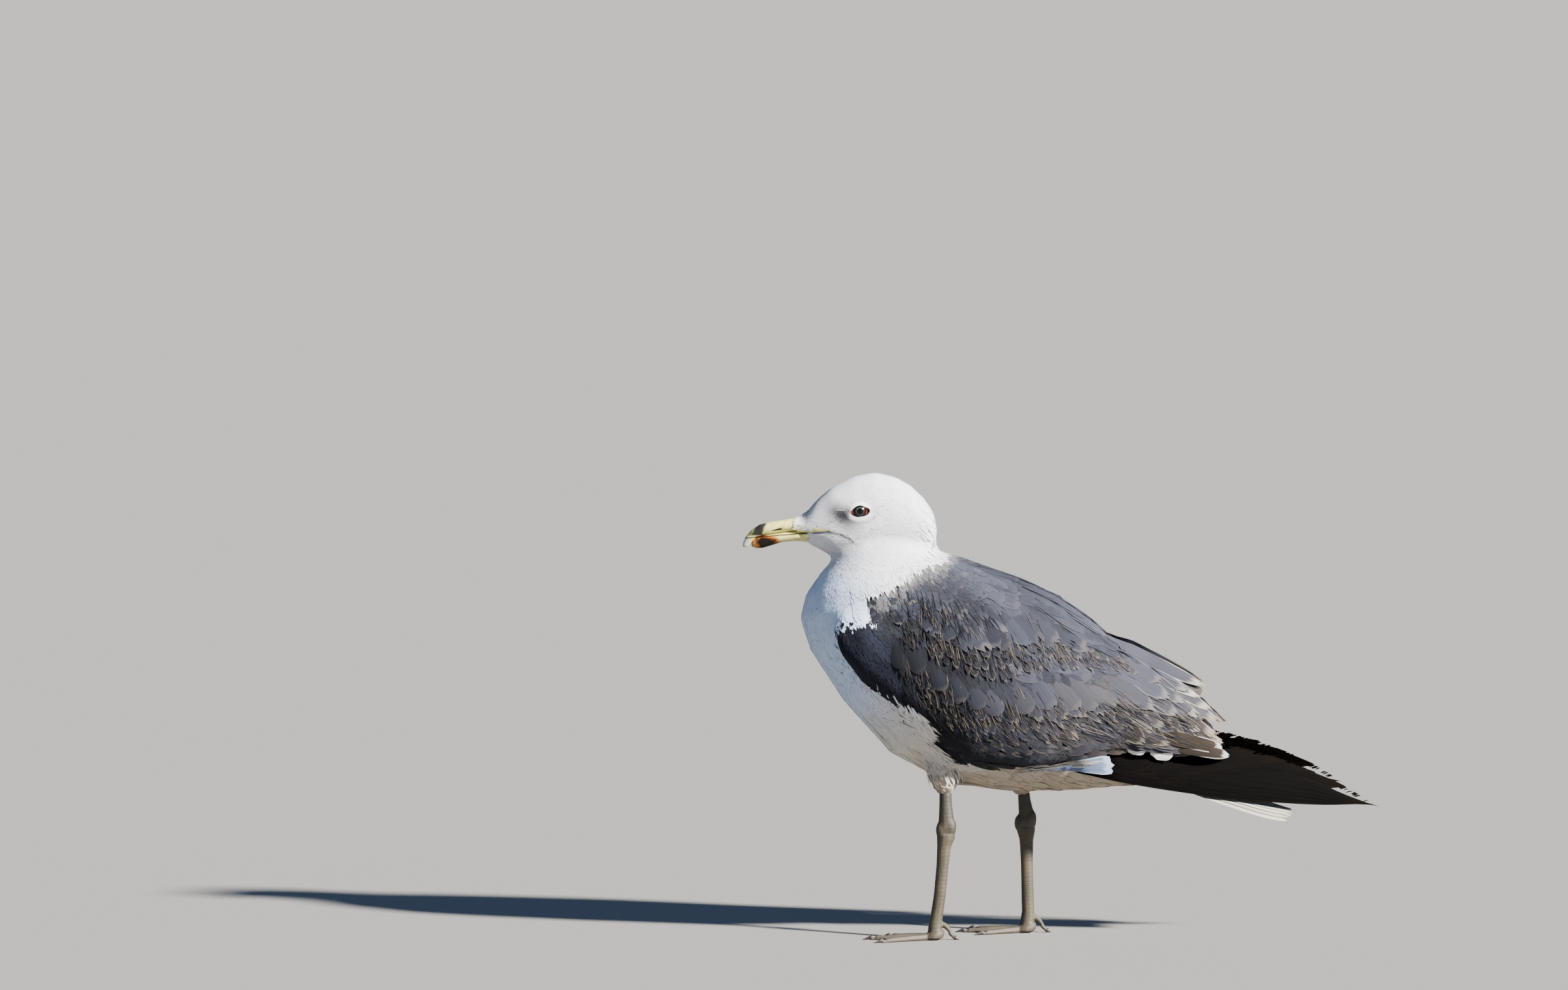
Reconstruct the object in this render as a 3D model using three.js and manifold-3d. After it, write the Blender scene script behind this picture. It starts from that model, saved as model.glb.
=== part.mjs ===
// A large white-headed gull standing at rest, as a still life-size model.
// Millimetres, +Z up, the bird faces -X and its left side is towards -Y.
// The origin is on the floor, at the middle of the bird's length and width.
import * as THREE from "three";
import { mergeVertices } from "three/addons/utils/BufferGeometryUtils.js";
import Module from "manifold-3d";

const wasm = await Module();
wasm.setup();

// ---- driving dimensions ----
const length = 499; // bill tip to wing tip
const billTipX = -length / 2;
const wingTipX = length / 2;
const crownZ = 365; // floor to the top of the head
const gap = 0.3; // left between pieces that touch
const cutThickness = 0.4; // of the thin cuts that part head, neck and trunk
const flatness = 0.12; // how far a face may stray when faces are merged, less than the gap

const eye = { x: -157.8, y: 17.2, z: 336.4, radius: 7.2, lidRadius: 5.4, lidThickness: 1.15 };
const leg = { side: 26, ankleZ: 85.5, heelZ: 9 };
const foot = { middleToe: 47, innerToe: 37, outerToe: 44, spread: 27, webThickness: 1.6 };
const claw = { length: 8, radius: 1.6 };

const colour = {
  white: 0xf0f0ee,
  grey: 0x7b7d86,
  black: 0x1a1716,
  billYellow: 0xcfc79a,
  legs: 0x7d7459,
  lid: 0xb5532c,
  iris: 0x8f938e,
  claw: 0x2a2623,
};

// ---- solids from shaped three.js geometries ----
function solidOf(geometry) {
  const bare = geometry.clone();
  for (const name of ["normal", "uv"]) bare.deleteAttribute(name);
  const merged = mergeVertices(bare, 1e-4);
  const corners = new Uint32Array(merged.index.array);
  const make = () =>
    new wasm.Manifold(
      new wasm.Mesh({
        numProp: 3,
        vertProperties: new Float32Array(merged.attributes.position.array),
        triVerts: corners,
      }),
    );
  const made = make();
  if (made.volume() > 0) return made;
  for (let i = 0; i < corners.length; i += 3)
    [corners[i + 1], corners[i + 2]] = [corners[i + 2], corners[i + 1]];
  return make();
}

function geometryOf(solid) {
  const mesh = solid.simplify(flatness).getMesh();
  const places = new Float32Array(mesh.numVert * 3);
  for (let i = 0; i < mesh.numVert; i++)
    places.set(mesh.vertProperties.subarray(i * mesh.numProp, i * mesh.numProp + 3), i * 3);
  const geometry = new THREE.BufferGeometry();
  geometry.setAttribute("position", new THREE.BufferAttribute(places, 3));
  geometry.setIndex(new THREE.BufferAttribute(new Uint32Array(mesh.triVerts), 1));
  geometry.computeVertexNormals();
  return geometry;
}

// A sphere's vertices moved by place(t, angle): t runs from one pole to the other, angle goes round.
function rounded(around, along, place) {
  const geometry = new THREE.SphereGeometry(1, around, along);
  const at = geometry.attributes.position;
  for (let row = 0; row <= along; row++) {
    const t = (1 - Math.cos((Math.PI * row) / along)) / 2;
    const pole = row === 0 || row === along;
    const ends = place(t, 0).add(place(t, Math.PI)).multiplyScalar(0.5);
    for (let column = 0; column <= around; column++) {
      const angle = ((column % around) / around) * 2 * Math.PI;
      const p = pole ? ends : place(t, angle);
      at.setXYZ(row * (around + 1) + column, p.x, p.y, p.z);
    }
  }
  return solidOf(geometry);
}

// A box's vertices moved by place(u, v, w): u and w from 0 to 1, v from -1 to 1.
function slab(along, across, place) {
  const geometry = new THREE.BoxGeometry(1, 2, 1, along, across, 1);
  const at = geometry.attributes.position;
  for (let i = 0; i < at.count; i++) {
    const p = place(at.getX(i) + 0.5, at.getY(i), at.getZ(i) + 0.5);
    at.setXYZ(i, p.x, p.y, p.z);
  }
  return solidOf(geometry);
}

const curveThrough = (points) => new THREE.CatmullRomCurve3(points, false, "catmullrom", 0.5);

// How far a rounded end has opened at t, with ends that take up `start` and `end` of the length.
function endOpening(t, start, end) {
  const opening = (share) => Math.sqrt(Math.max(0, 1 - (1 - Math.min(1, share)) ** 2));
  return Math.min(opening(t / start), opening((1 - t) / end));
}

// A body whose cross-sections stand on pairs of points of its side view: [topX, topZ, lowX, lowZ, halfWidth].
function bodyBetween(stations, { around, along, start, end, fullness = 1, grow = 0 }) {
  const tops = curveThrough(stations.map(([x, z]) => new THREE.Vector3(x, 0, z)));
  const lows = curveThrough(stations.map(([, , x, z]) => new THREE.Vector3(x, 0, z)));
  const widths = curveThrough(stations.map((s, i) => new THREE.Vector3(i, s[4], 0)));
  return rounded(around, along, (t, angle) => {
    const top = tops.getPoint(t);
    const low = lows.getPoint(t);
    const open = endOpening(t, start, end);
    const middle = top.clone().add(low).multiplyScalar(0.5);
    const half = top.sub(low).multiplyScalar(0.5);
    const high = half.length() * open + grow;
    const wide = widths.getPoint(t).y * open + grow;
    const up = Math.cos(angle);
    const out = Math.sign(Math.sin(angle)) * Math.abs(Math.sin(angle)) ** fullness;
    return middle.addScaledVector(half.normalize(), up * high).setY(out * wide);
  });
}

// A blade that wraps the flank: [x, topY, topZ, lowY, lowZ, bulge outwards, depth inwards] on the left side.
function flankBlade(stations, { around, along, start, end, grow = 0 }) {
  const tops = curveThrough(stations.map(([x, y, z]) => new THREE.Vector3(x, -y, z)));
  const lows = curveThrough(stations.map(([x, , , y, z]) => new THREE.Vector3(x, -y, z)));
  const bulges = curveThrough(stations.map((s) => new THREE.Vector3(0, s[5], s[6])));
  return rounded(around, along, (t, angle) => {
    const top = tops.getPoint(t);
    const low = lows.getPoint(t);
    const bulge = bulges.getPoint(t);
    const open = endOpening(t, start, end);
    const middle = top.clone().add(low).multiplyScalar(0.5);
    const half = top.sub(low).multiplyScalar(0.5);
    const outwards = new THREE.Vector3(0, -half.z, half.y).normalize();
    const side = Math.sin(angle);
    const depth = (side > 0 ? bulge.y : bulge.z) * open + grow;
    const high = half.length() * open + grow;
    return middle
      .addScaledVector(half.normalize(), Math.cos(angle) * high)
      .addScaledVector(outwards, side * depth);
  });
}

const mirrored = (solid) => solid.mirror([0, 1, 0]);

// A thin slab across the bird, through two points of its side view.
function thinCut([x1, z1], [x2, z2]) {
  const slope = Math.atan2(z2 - z1, x2 - x1);
  const geometry = new THREE.BoxGeometry(260, 300, cutThickness);
  geometry.rotateY(-slope).translate((x1 + x2) / 2, 0, (z1 + z2) / 2);
  return solidOf(geometry);
}

// ---- the plumage outline of trunk, neck and head ----
const trunkStations = [
  [-118, 336, -166, 324, 12],
  [-104, 324, -178, 308, 20],
  [-99.5, 311, -179.5, 295, 29.5],
  [-95, 302, -190, 283, 38],
  [-85, 300, -201.5, 264, 46],
  [-76, 297.6, -203, 246, 51],
  [-60, 292, -193, 221, 56],
  [-33, 282.7, -168, 184, 60],
  [-3, 269, -135, 147, 60],
  [20, 253, -95, 124, 54.5],
  [40, 236, -50, 116, 47],
  [58, 217, 0, 115.5, 38],
  [75, 196, 38, 119, 29],
  [92, 175, 72, 121, 21.5],
  [110, 156, 100, 120, 16],
  [124, 142, 122, 122, 12],
];
const headStations = [
  [-211, 324, -205, 316, 6],
  [-205, 331, -200, 310.5, 10],
  [-194, 340.6, -191, 306.5, 14],
  [-181, 352, -181, 300.5, 18.5],
  [-162, 361.8, -165, 297, 22.3],
  [-145, crownZ, -145, 296, 24.6],
  [-128, 360.6, -126, 297, 25.4],
  [-114, 351.5, -110, 300, 24.6],
  [-103, 337, -101, 308, 22],
  [-98.5, 327, -98, 315, 16],
];

function plumage(grow = 0) {
  const trunk = bodyBetween(trunkStations, {
    around: 26, along: 21, start: 0.03, end: 0.05, fullness: 0.92, grow,
  });
  const head = bodyBetween(headStations, {
    around: 18, along: 15, start: 0.08, end: 0.1, fullness: 0.95, grow,
  });
  return trunk.add(head);
}

// ---- bill ----
const upperBill = [
  [-201, 331, -190, 320, 10],
  [-210.7, 328.9, -204, 319.2, 8.4],
  [-223, 326.8, -217, 317.8, 6.7],
  [-232, 325.6, -227, 316.3, 5.7],
  [-239, 322.6, -235.5, 315.2, 4.7],
  [-244.8, 317.4, -240.2, 311.8, 3.3],
  [-248.3, 311.6, -243.6, 307.2, 2.1],
  [billTipX, 306.4, billTipX + 0.6, 306, 0.7],
];
const lowerBill = [
  [-190, 321, -194, 309.5, 9],
  [-205, 320.6, -205, 311.2, 7.6],
  [-217, 319.4, -218, 310.3, 6.3],
  [-226, 318, -226, 307.9, 5.4],
  [-233, 316.8, -233.6, 305.6, 4.6],
  [-238.6, 315, -239.6, 305.6, 3.4],
  [-242.8, 312.4, -243.4, 307.6, 1.8],
];

const billPart = (stations) =>
  bodyBetween(stations, { around: 14, along: 10, start: 0.04, end: 0.06 });

// The hollow in the head that a half of the bill is set in.
function billHollow([root, ...rest]) {
  const deeper = [root[0] + 2 * gap, root[1], root[2] + 2 * gap, root[3], root[4]];
  return bodyBetween([deeper, ...rest], {
    around: 11, along: 10, start: 0.04, end: 0.06, grow: gap * 2.4,
  });
}

// ---- wings, flight feathers and tail ----
const wingStations = [
  [-178, 45, 250, 47, 243, 4, 4],
  [-168, 44, 260, 47, 220, 9, 8],
  [-145, 43, 268, 47, 194, 15, 12],
  [-110, 42, 269, 47, 168, 19, 14],
  [-72, 40, 265, 45, 143, 24, 14],
  [-40, 36, 258, 42, 134, 25, 14],
  [0, 29, 247, 39, 139, 21, 12],
  [32, 18, 236, 37, 147, 16, 9],
  [60, 8, 222, 35, 152, 11, 5],
  [84, 7, 207, 32, 151, 5.5, 2.5],
  [100, 11, 192, 29, 150, 3, 2],
  [110, 15, 180, 26, 152, 2, 1.5],
];

const wing = (grow = 0) =>
  flankBlade(wingStations, { around: 14, along: 12, start: 0.05, end: 0.03, grow });

// A row of rounded feather tips: 1 at the middle of each tip and 0 in the notches between them.
const tipsAcross = (v, count) => Math.abs(Math.sin(((v + 1) / 2) * count * Math.PI)) ** 0.6;

// The tertials and great coverts: a fan of broad feathers that closes the back of the folded wing.
function tertials(grow = 0) {
  const count = 5;
  const notch = 7;
  const root = { x: 58, topY: 11, topZ: 221, lowY: 41.5, lowZ: 150 };
  const end = { x: 131, topX: -17, topY: 2.5, topZ: 201, lowY: 26.5, lowZ: 142 };
  const thickness = 1.5;
  return slab(4, count * 3, (u, v, w) => {
    const share = (v + 1) / 2;
    const reach = end.x + end.topX * share ** 1.4 - notch * (1 - tipsAcross(v, count)) + grow;
    const x = THREE.MathUtils.lerp(root.x - grow, reach, u);
    const topY = THREE.MathUtils.lerp(root.topY, end.topY, u);
    const lowY = THREE.MathUtils.lerp(root.lowY, end.lowY, u);
    const topZ = THREE.MathUtils.lerp(root.topZ, end.topZ, u);
    const lowZ = THREE.MathUtils.lerp(root.lowZ, end.lowZ, u);
    const bulge = (1 - v * v) * THREE.MathUtils.lerp(9.5, 3.5, u);
    const y = THREE.MathUtils.lerp(lowY, topY, share) + bulge + (w - 0.5) * (thickness + 2 * grow);
    return new THREE.Vector3(x, -y, THREE.MathUtils.lerp(lowZ, topZ, share) + v * grow);
  });
}

// The stacked primaries: a long blade whose upper edge steps down past the tip of each feather.
function primaries({ tip, lift, grow = 0 }) {
  const feathers = 7;
  const perFeather = 4;
  const tipDepth = 5.5;
  const root = { x: 12, topY: 34, topZ: 150, lowY: 37, lowZ: 132 };
  const middle = { topY: 10, topZ: 153 + lift, lowY: 27, lowZ: 111 + lift * 0.5 };
  const bow = (u, a, b, c) =>
    (1 - u) ** 2 * a + 2 * u * (1 - u) * (2 * b - (a + c) / 2) + u * u * c;
  return slab(feathers * perFeather, 2, (u, v, w) => {
    const x = THREE.MathUtils.lerp(root.x - grow, tip.x + grow, u);
    const past = (u * feathers) % 1;
    const overhang = past < 0.76 ? past / 0.76 : 0;
    const shown = THREE.MathUtils.smoothstep(u, 0.3, 0.5) * (1 - u ** 6);
    const top = bow(u, root.topZ, middle.topZ, tip.z + 1.4) + overhang * tipDepth * shown + grow;
    const low = bow(u, root.lowZ, middle.lowZ, tip.z - 1.4) - grow;
    const topY = bow(u, root.topY, middle.topY, tip.y);
    const lowY = bow(u, root.lowY, middle.lowY, tip.y + 1);
    const share = (v + 1) / 2;
    const thickness = THREE.MathUtils.lerp(6, 1.6, u) * (1 - 0.6 * v * v) + 2 * grow;
    const y = THREE.MathUtils.lerp(lowY, topY, share) + (1 - v * v) * 4 * (1 - u);
    return new THREE.Vector3(x, -(y + (w - 0.5) * thickness), THREE.MathUtils.lerp(low, top, share));
  });
}

// The closed tail: a slab of overlapping feathers, roofed across and square at its scalloped end.
function tail(grow = 0) {
  const root = { x: 84, z: 136 };
  const end = { x: 183, z: 99.5 };
  const halfWidth = { root: 13, end: 27 };
  const feathersAcross = 6;
  return slab(5, 12, (u, v, w) => {
    const scallop = 2.5 * Math.abs(Math.sin(v * feathersAcross * 0.5 * Math.PI)) + 4 * (1 - v * v);
    const along = u * (1 - (6 - scallop) / 100);
    const half = THREE.MathUtils.lerp(halfWidth.root, halfWidth.end, Math.sqrt(along)) + grow;
    const thickness = THREE.MathUtils.lerp(9, 2.4, along) + 2 * grow;
    const roof = -5.5 * v * v * along;
    return new THREE.Vector3(
      THREE.MathUtils.lerp(root.x, end.x, along) + (u > 0.99 ? grow : 0),
      v * half,
      THREE.MathUtils.lerp(root.z, end.z, along) + roof + (w - 0.5) * thickness,
    );
  });
}

// ---- legs and feet ----
// A limb whose cross-sections are level ovals: [x, z, half length fore and aft, half width].
function limb(stations, y, { around, along, start = 0.05, end = 0.05, grow = 0 }) {
  const middles = curveThrough(stations.map(([x, z]) => new THREE.Vector3(x, y, z)));
  const sizes = curveThrough(stations.map(([, , a, b]) => new THREE.Vector3(a, b, 0)));
  return rounded(around, along, (t, angle) => {
    const open = endOpening(t, start, end);
    const size = sizes.getPoint(t);
    return middles.getPoint(t).add(
      new THREE.Vector3(
        Math.cos(angle) * (size.x * open + grow),
        Math.sin(angle) * (size.y * open + grow),
        0,
      ),
    );
  });
}

function thigh(at, grow = 0) {
  const rise = at.bellyZ;
  const stations = [
    [at.thighX - 1, rise + 16, 14, 11],
    [at.thighX, rise + 4, 12.5, 10],
    [at.shankX - 0.5, rise - 5, 9, 7.6],
    [at.shankX, rise - 13, 6.2, 5.6],
  ];
  return limb(stations, at.y, { around: 12, along: 7, start: 0.1, end: 0.12, grow });
}

function shank(at, grow = 0) {
  const stations = [
    [at.shankX, at.bellyZ + 6, 4.8, 4.2],
    [at.shankX + at.shankLean * 0.4, (at.bellyZ + leg.ankleZ) / 2 + 4, 4.7, 4],
    [at.ankleX + 0.4, leg.ankleZ + 7, 6.2, 4.9],
    [at.ankleX, leg.ankleZ - 1.5, 7.6, 5.4],
  ];
  return limb(stations, at.y, { around: 10, along: 7, end: 0.1, grow });
}

function tarsus(at, grow = 0) {
  const stations = [
    [at.ankleX, leg.ankleZ, 7.6, 5.4],
    [at.ankleX, leg.ankleZ - 6, 6.9, 5],
    [at.ankleX + (at.footX - at.ankleX) * 0.25, leg.ankleZ - 16, 5, 3.9],
    [(at.ankleX + at.footX) / 2, leg.ankleZ / 2, 4.7, 3.6],
    [at.footX, 16, 4.9, 4],
    [at.footX - 1.5, leg.heelZ - 4, 6, 5.2],
  ];
  return limb(stations, at.y, { around: 10, along: 10, start: 0.12, grow });
}

// One front toe from the heel joint, resting on the floor; angle is measured from straight ahead.
function toePlace(at, reach, angle, share, out = 0) {
  const along = share * reach;
  const turn = angle * (Math.PI / 180);
  return new THREE.Vector3(
    at.footX - 2 - Math.cos(turn) * along + Math.sin(turn) * out,
    at.y + Math.sin(turn) * along + Math.cos(turn) * out,
    0,
  );
}

function toesOf(at) {
  const inwards = at.y < 0 ? 1 : -1;
  return [
    { name: "middle", reach: foot.middleToe, angle: 0, joints: 3 },
    { name: "inner", reach: foot.innerToe, angle: inwards * foot.spread, joints: 2 },
    { name: "outer", reach: foot.outerToe, angle: -inwards * foot.spread, joints: 4 },
  ];
}

function toe(at, { reach, angle, joints }) {
  const knuckle = (t) => 0.45 * Math.max(0, Math.cos(t * joints * 2 * Math.PI));
  return rounded(6, 7, (t, turn) => {
    const open = endOpening(t, 0.08, 0.08);
    const high = (THREE.MathUtils.lerp(3.1, 1.9, t) + knuckle(t)) * open;
    const centre = toePlace(at, reach, angle, t, Math.cos(turn) * high * 1.05);
    const sole = -0.9;
    return centre.setZ(Math.max(0, high + sole * open + Math.sin(turn) * high * 1.15));
  });
}

function web(at, toes) {
  const tips = [...toes].sort((a, b) => a.angle - b.angle);
  const points = [];
  const edge = (one, share) => toePlace(at, one.reach, one.angle, share);
  const outline = new THREE.Shape();
  const heel = toePlace(at, 1, 0, -4);
  outline.moveTo(heel.x, heel.y);
  tips.forEach((one, i) => {
    const corner = edge(one, 0.94);
    if (i > 0) {
      const last = edge(tips[i - 1], 0.94);
      const hollow = last.clone().add(corner).multiplyScalar(0.5).lerp(edge(tips[1], 0), 0.16);
      outline.quadraticCurveTo(hollow.x, hollow.y, corner.x, corner.y);
    } else outline.lineTo(corner.x, corner.y);
    points.push(corner);
  });
  outline.closePath();
  const geometry = new THREE.ExtrudeGeometry(outline, {
    depth: foot.webThickness, bevelEnabled: false, curveSegments: 5,
  });
  return solidOf(geometry);
}

function footOf(at) {
  const toes = toesOf(at);
  const knuckles = limb(
    [[at.footX + 1, leg.heelZ - 1, 5.6, 5], [at.footX - 1, 4, 7.4, 7], [at.footX - 3, 0.6, 7.4, 7]],
    at.y, { around: 12, along: 5, start: 0.15, end: 0.02 },
  );
  const floor = solidOf(new THREE.BoxGeometry(600, 300, 20).translate(0, 0, -10));
  return toes.reduce((all, one) => all.add(toe(at, one)), web(at, toes)).add(knuckles).subtract(floor);
}

// A curved claw that starts past a toe's tip and comes down to the floor.
function clawFrom(start, angle, { size = claw.length, rise = 0.9 } = {}) {
  const turn = angle * (Math.PI / 180);
  return rounded(6, 6, (t, around) => {
    const thick = claw.radius * (1 - t) ** 0.8 * endOpening(t, 0.12, 1) + 0.12;
    const along = size * t;
    const drop = rise + 2.1 * (1 - t * t);
    const side = Math.cos(around) * thick * 0.8;
    return new THREE.Vector3(
      start.x - Math.cos(turn) * along + Math.sin(turn) * side,
      start.y + Math.sin(turn) * along + Math.cos(turn) * side,
      start.z + Math.max(0.05, drop - 1 + Math.sin(around) * thick),
    );
  });
}

function hallux(at) {
  const start = { x: at.footX + 3.6, z: 12.5 };
  return rounded(7, 5, (t, around) => {
    const thick = 2.2 * (1 - 0.35 * t) * endOpening(t, 0.2, 0.2);
    return new THREE.Vector3(
      start.x + 9 * t + Math.sin(around) * thick * 0.5,
      at.y + Math.cos(around) * thick,
      start.z - 8.6 * t * t + Math.sin(around) * thick,
    );
  });
}

// The hind claw, whose blunt end rests on the floor.
function halluxClaw(at) {
  const start = { x: at.footX + 13.2, z: 2.6 };
  return rounded(6, 5, (t, around) => {
    const thick = 1.5 * (1 - 0.4 * t) * endOpening(t, 0.15, 0.1);
    return new THREE.Vector3(
      start.x + 4.6 * t + Math.sin(around) * thick * 0.4,
      at.y + Math.cos(around) * thick,
      Math.max(0, start.z - 2.4 * t + Math.sin(around) * thick),
    );
  });
}

// ---- eyes ----
function eyeball(side, { grow = 0, around = 12 } = {}) {
  const ball = new THREE.SphereGeometry(eye.radius + grow, around, Math.round(around * 0.65));
  return solidOf(ball.translate(eye.x, side * eye.y, eye.z));
}

function eyelid(side) {
  const ring = new THREE.TorusGeometry(eye.lidRadius, eye.lidThickness, 5, 13);
  const almond = new THREE.Vector3(1.12, 0.94, 1);
  ring.scale(almond.x, almond.y, almond.z).rotateX(Math.PI / 2);
  ring.translate(eye.x, side * (eye.y + eye.radius * 0.62), eye.z);
  return solidOf(ring);
}

// The hollow that the eyelids lie in.
function eyelidHollow(side) {
  const reach = eye.lidRadius + eye.lidThickness + gap;
  const hollow = new THREE.SphereGeometry(1, 12, 6).scale(reach * 1.18, 2.4, reach);
  return solidOf(hollow.translate(eye.x, side * (eye.y + eye.radius * 0.62), eye.z));
}

// ---- assembly ----
const bySize = (a, b) => b.volume() - a.volume();
const largest = (solid) => solid.decompose().sort(bySize)[0];
const bird = new THREE.Group();

function add(name, solid, hue, roughness = 0.85) {
  const material = new THREE.MeshStandardMaterial({ color: hue, roughness, metalness: 0 });
  const mesh = new THREE.Mesh(geometryOf(solid), material);
  mesh.name = name;
  bird.add(mesh);
}

const legs = [
  { name: "left", y: -leg.side, thighX: -93, shankX: -90.5, shankLean: 0.6, ankleX: -90, footX: -97.5, bellyZ: 128 },
  { name: "right", y: leg.side, thighX: -31, shankX: -29.5, shankLean: 4, ankleX: -26.2, footX: -24.5, bellyZ: 122 },
];
const wingTips = {
  left: { tip: { x: wingTipX, y: 3, z: 102.5 }, lift: 0 },
  right: { tip: { x: wingTipX - 28, y: 6, z: 121 }, lift: 10 },
};

const coat = plumage();
const coatGrown = plumage(gap);
const wingGrown = wing(gap);
const tailGrown = tail(gap);
const upperGrown = billHollow(upperBill);

let body = coat.subtract(billHollow(upperBill)).subtract(billHollow(lowerBill));
for (const side of [-1, 1])
  body = body.subtract(eyeball(side, { grow: gap * 3, around: 10 })).subtract(eyelidHollow(side));
body = body.subtract(thinCut([-182, 296.5], [-94, 313])).subtract(thinCut([-204, 262], [-89, 301.2]));
const flesh = body.decompose().sort(bySize);
["trunk", "head", "neck"].forEach((name, i) => add(name, flesh[i], colour.white));

add("bill_upper", billPart(upperBill), colour.billYellow, 0.45);
add("bill_lower", billPart(lowerBill).subtract(upperGrown), colour.billYellow, 0.45);
add("tail", tail().subtract(coatGrown), colour.white);

for (const [i, side] of [-1, 1].entries()) {
  const name = i === 0 ? "left" : "right";
  const place = (solid) => (i === 0 ? solid : mirrored(solid));
  const inner = [coatGrown, tailGrown];
  const covered = (solid, under) => largest(under.reduce((left, one) => left.subtract(one), solid));
  const blade = place(primaries(wingTips[name]));
  const bladeGrown = place(primaries({ ...wingTips[name], grow: gap }));
  const fan = place(tertials());
  const fanGrown = place(tertials(gap * 4));
  add(`tertials_${name}`, covered(fan, [...inner, bladeGrown]), colour.grey);
  add(`wing_${name}`, covered(place(wing()), [...inner, fanGrown]), colour.grey);
  add(`primaries_${name}`, covered(blade, [...inner, place(wingGrown)]), colour.black, 0.6);
  add(`eye_${name}`, eyeball(side), colour.iris, 0.1);
  add(`eyelid_${name}`, eyelid(side).subtract(eyeball(side, { grow: gap })), colour.lid, 0.5);
}

for (const at of legs) {
  const side = at.name;
  const thighGrown = thigh(at, gap);
  add(`thigh_${side}`, largest(thigh(at).subtract(coatGrown)), colour.white);
  const ankleCut = solidOf(
    new THREE.BoxGeometry(30, 30, gap).translate(at.ankleX, at.y, leg.ankleZ),
  );
  const upperLeg = largest(shank(at).subtract(thighGrown).subtract(coatGrown));
  add(`shank_${side}`, upperLeg, colour.legs, 0.6);
  const toes = toesOf(at);
  const paddle = footOf(at);
  add(`tarsus_${side}`, tarsus(at).subtract(shank(at, gap)).subtract(ankleCut), colour.legs, 0.6);
  add(`foot_${side}`, paddle.subtract(tarsus(at, gap)), colour.legs, 0.6);
  for (const one of toes) {
    const start = toePlace(at, one.reach + gap + 0.3, one.angle, 1);
    add(`claw_${one.name}_${side}`, clawFrom(start, one.angle), colour.claw, 0.35);
  }
  add(`hallux_${side}`, hallux(at).subtract(tarsus(at, gap)), colour.legs, 0.6);
  add(`claw_hind_${side}`, halluxClaw(at), colour.claw, 0.35);
}

// Set the origin exactly at the middle of the length and width, with the soles on the floor.
const reach = new THREE.Box3().setFromObject(bird);
const middle = reach.getCenter(new THREE.Vector3());
for (const mesh of bird.children) mesh.geometry.translate(-middle.x, -middle.y, -reach.min.z);

export default bird;
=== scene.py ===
import math

import bmesh
import bpy
import numpy as np
from mathutils import Matrix, Vector
from mathutils.bvhtree import BVHTree


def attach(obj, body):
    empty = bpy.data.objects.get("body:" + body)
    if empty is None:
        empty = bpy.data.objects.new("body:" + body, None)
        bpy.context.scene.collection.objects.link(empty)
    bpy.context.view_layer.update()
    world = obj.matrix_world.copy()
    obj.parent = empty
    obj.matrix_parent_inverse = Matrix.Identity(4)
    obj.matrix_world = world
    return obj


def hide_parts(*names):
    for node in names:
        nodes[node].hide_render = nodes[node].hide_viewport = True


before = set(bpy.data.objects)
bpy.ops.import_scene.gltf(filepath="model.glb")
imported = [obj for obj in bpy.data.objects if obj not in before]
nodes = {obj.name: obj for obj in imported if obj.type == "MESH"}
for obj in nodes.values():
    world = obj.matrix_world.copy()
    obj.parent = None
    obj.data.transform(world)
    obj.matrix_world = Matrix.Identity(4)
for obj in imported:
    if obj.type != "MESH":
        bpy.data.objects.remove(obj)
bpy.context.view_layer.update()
rng = np.random.default_rng(7)
mm = 0.001
print("frame loaded:", len(nodes), "nodes")


# Small helpers. Points are in millimetres until a mesh is made.
def unit(v):
    return v / np.maximum(np.linalg.norm(v, axis=-1, keepdims=True), 1e-9)


def smooth(a, b, x):
    t = np.clip((x - a) / (b - a), 0, 1)
    return t * t * (3 - 2 * t)


def mix(a, b, t):
    return a + (b - a) * t


def newObject(name, mesh, material=None, smoothShade=True):
    thing = bpy.data.objects.new(name, mesh)
    bpy.context.scene.collection.objects.link(thing)
    if material:
        mesh.materials.append(material)
    if smoothShade:
        mesh.polygons.foreach_set("use_smooth", [True] * len(mesh.polygons))
    return thing


def finishPiece(thing, replaced=()):
    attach(thing, "root")
    if replaced:
        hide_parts(*replaced)


def copyOfNodes(names, puff=0.0):
    whole = bmesh.new()
    for name in names:
        piece = bmesh.new()
        piece.from_mesh(nodes[name].data)
        bmesh.ops.remove_doubles(piece, verts=piece.verts, dist=1e-5)
        piece.normal_update()
        for v in piece.verts:
            v.co += v.normal * puff * mm
        spare = bpy.data.meshes.new("spare")
        piece.to_mesh(spare)
        whole.from_mesh(spare)
        bpy.data.meshes.remove(spare)
        piece.free()
    return whole


def smoothForm(form, rounds):
    everyAxis = {"use_axis_x": True, "use_axis_y": True, "use_axis_z": True}
    for _ in range(rounds):
        bmesh.ops.smooth_vert(form, verts=form.verts, factor=0.5, **everyAxis)


def remeshed(form, voxel, rounds):
    mesh = bpy.data.meshes.new("form")
    form.to_mesh(mesh)
    form.free()
    thing = bpy.data.objects.new("form", mesh)
    bpy.context.scene.collection.objects.link(thing)
    cut = thing.modifiers.new("cut", "REMESH")
    cut.mode, cut.voxel_size = "VOXEL", voxel * mm
    graph = bpy.context.evaluated_depsgraph_get()
    done = bpy.data.meshes.new_from_object(thing.evaluated_get(graph))
    bpy.data.objects.remove(thing)
    bpy.data.meshes.remove(mesh)
    even = bmesh.new()
    even.from_mesh(done)
    bpy.data.meshes.remove(done)
    smoothForm(even, rounds)
    return even


def meshOf(form, name):
    mesh = bpy.data.meshes.new(name)
    form.normal_update()
    form.to_mesh(mesh)
    return mesh


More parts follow.
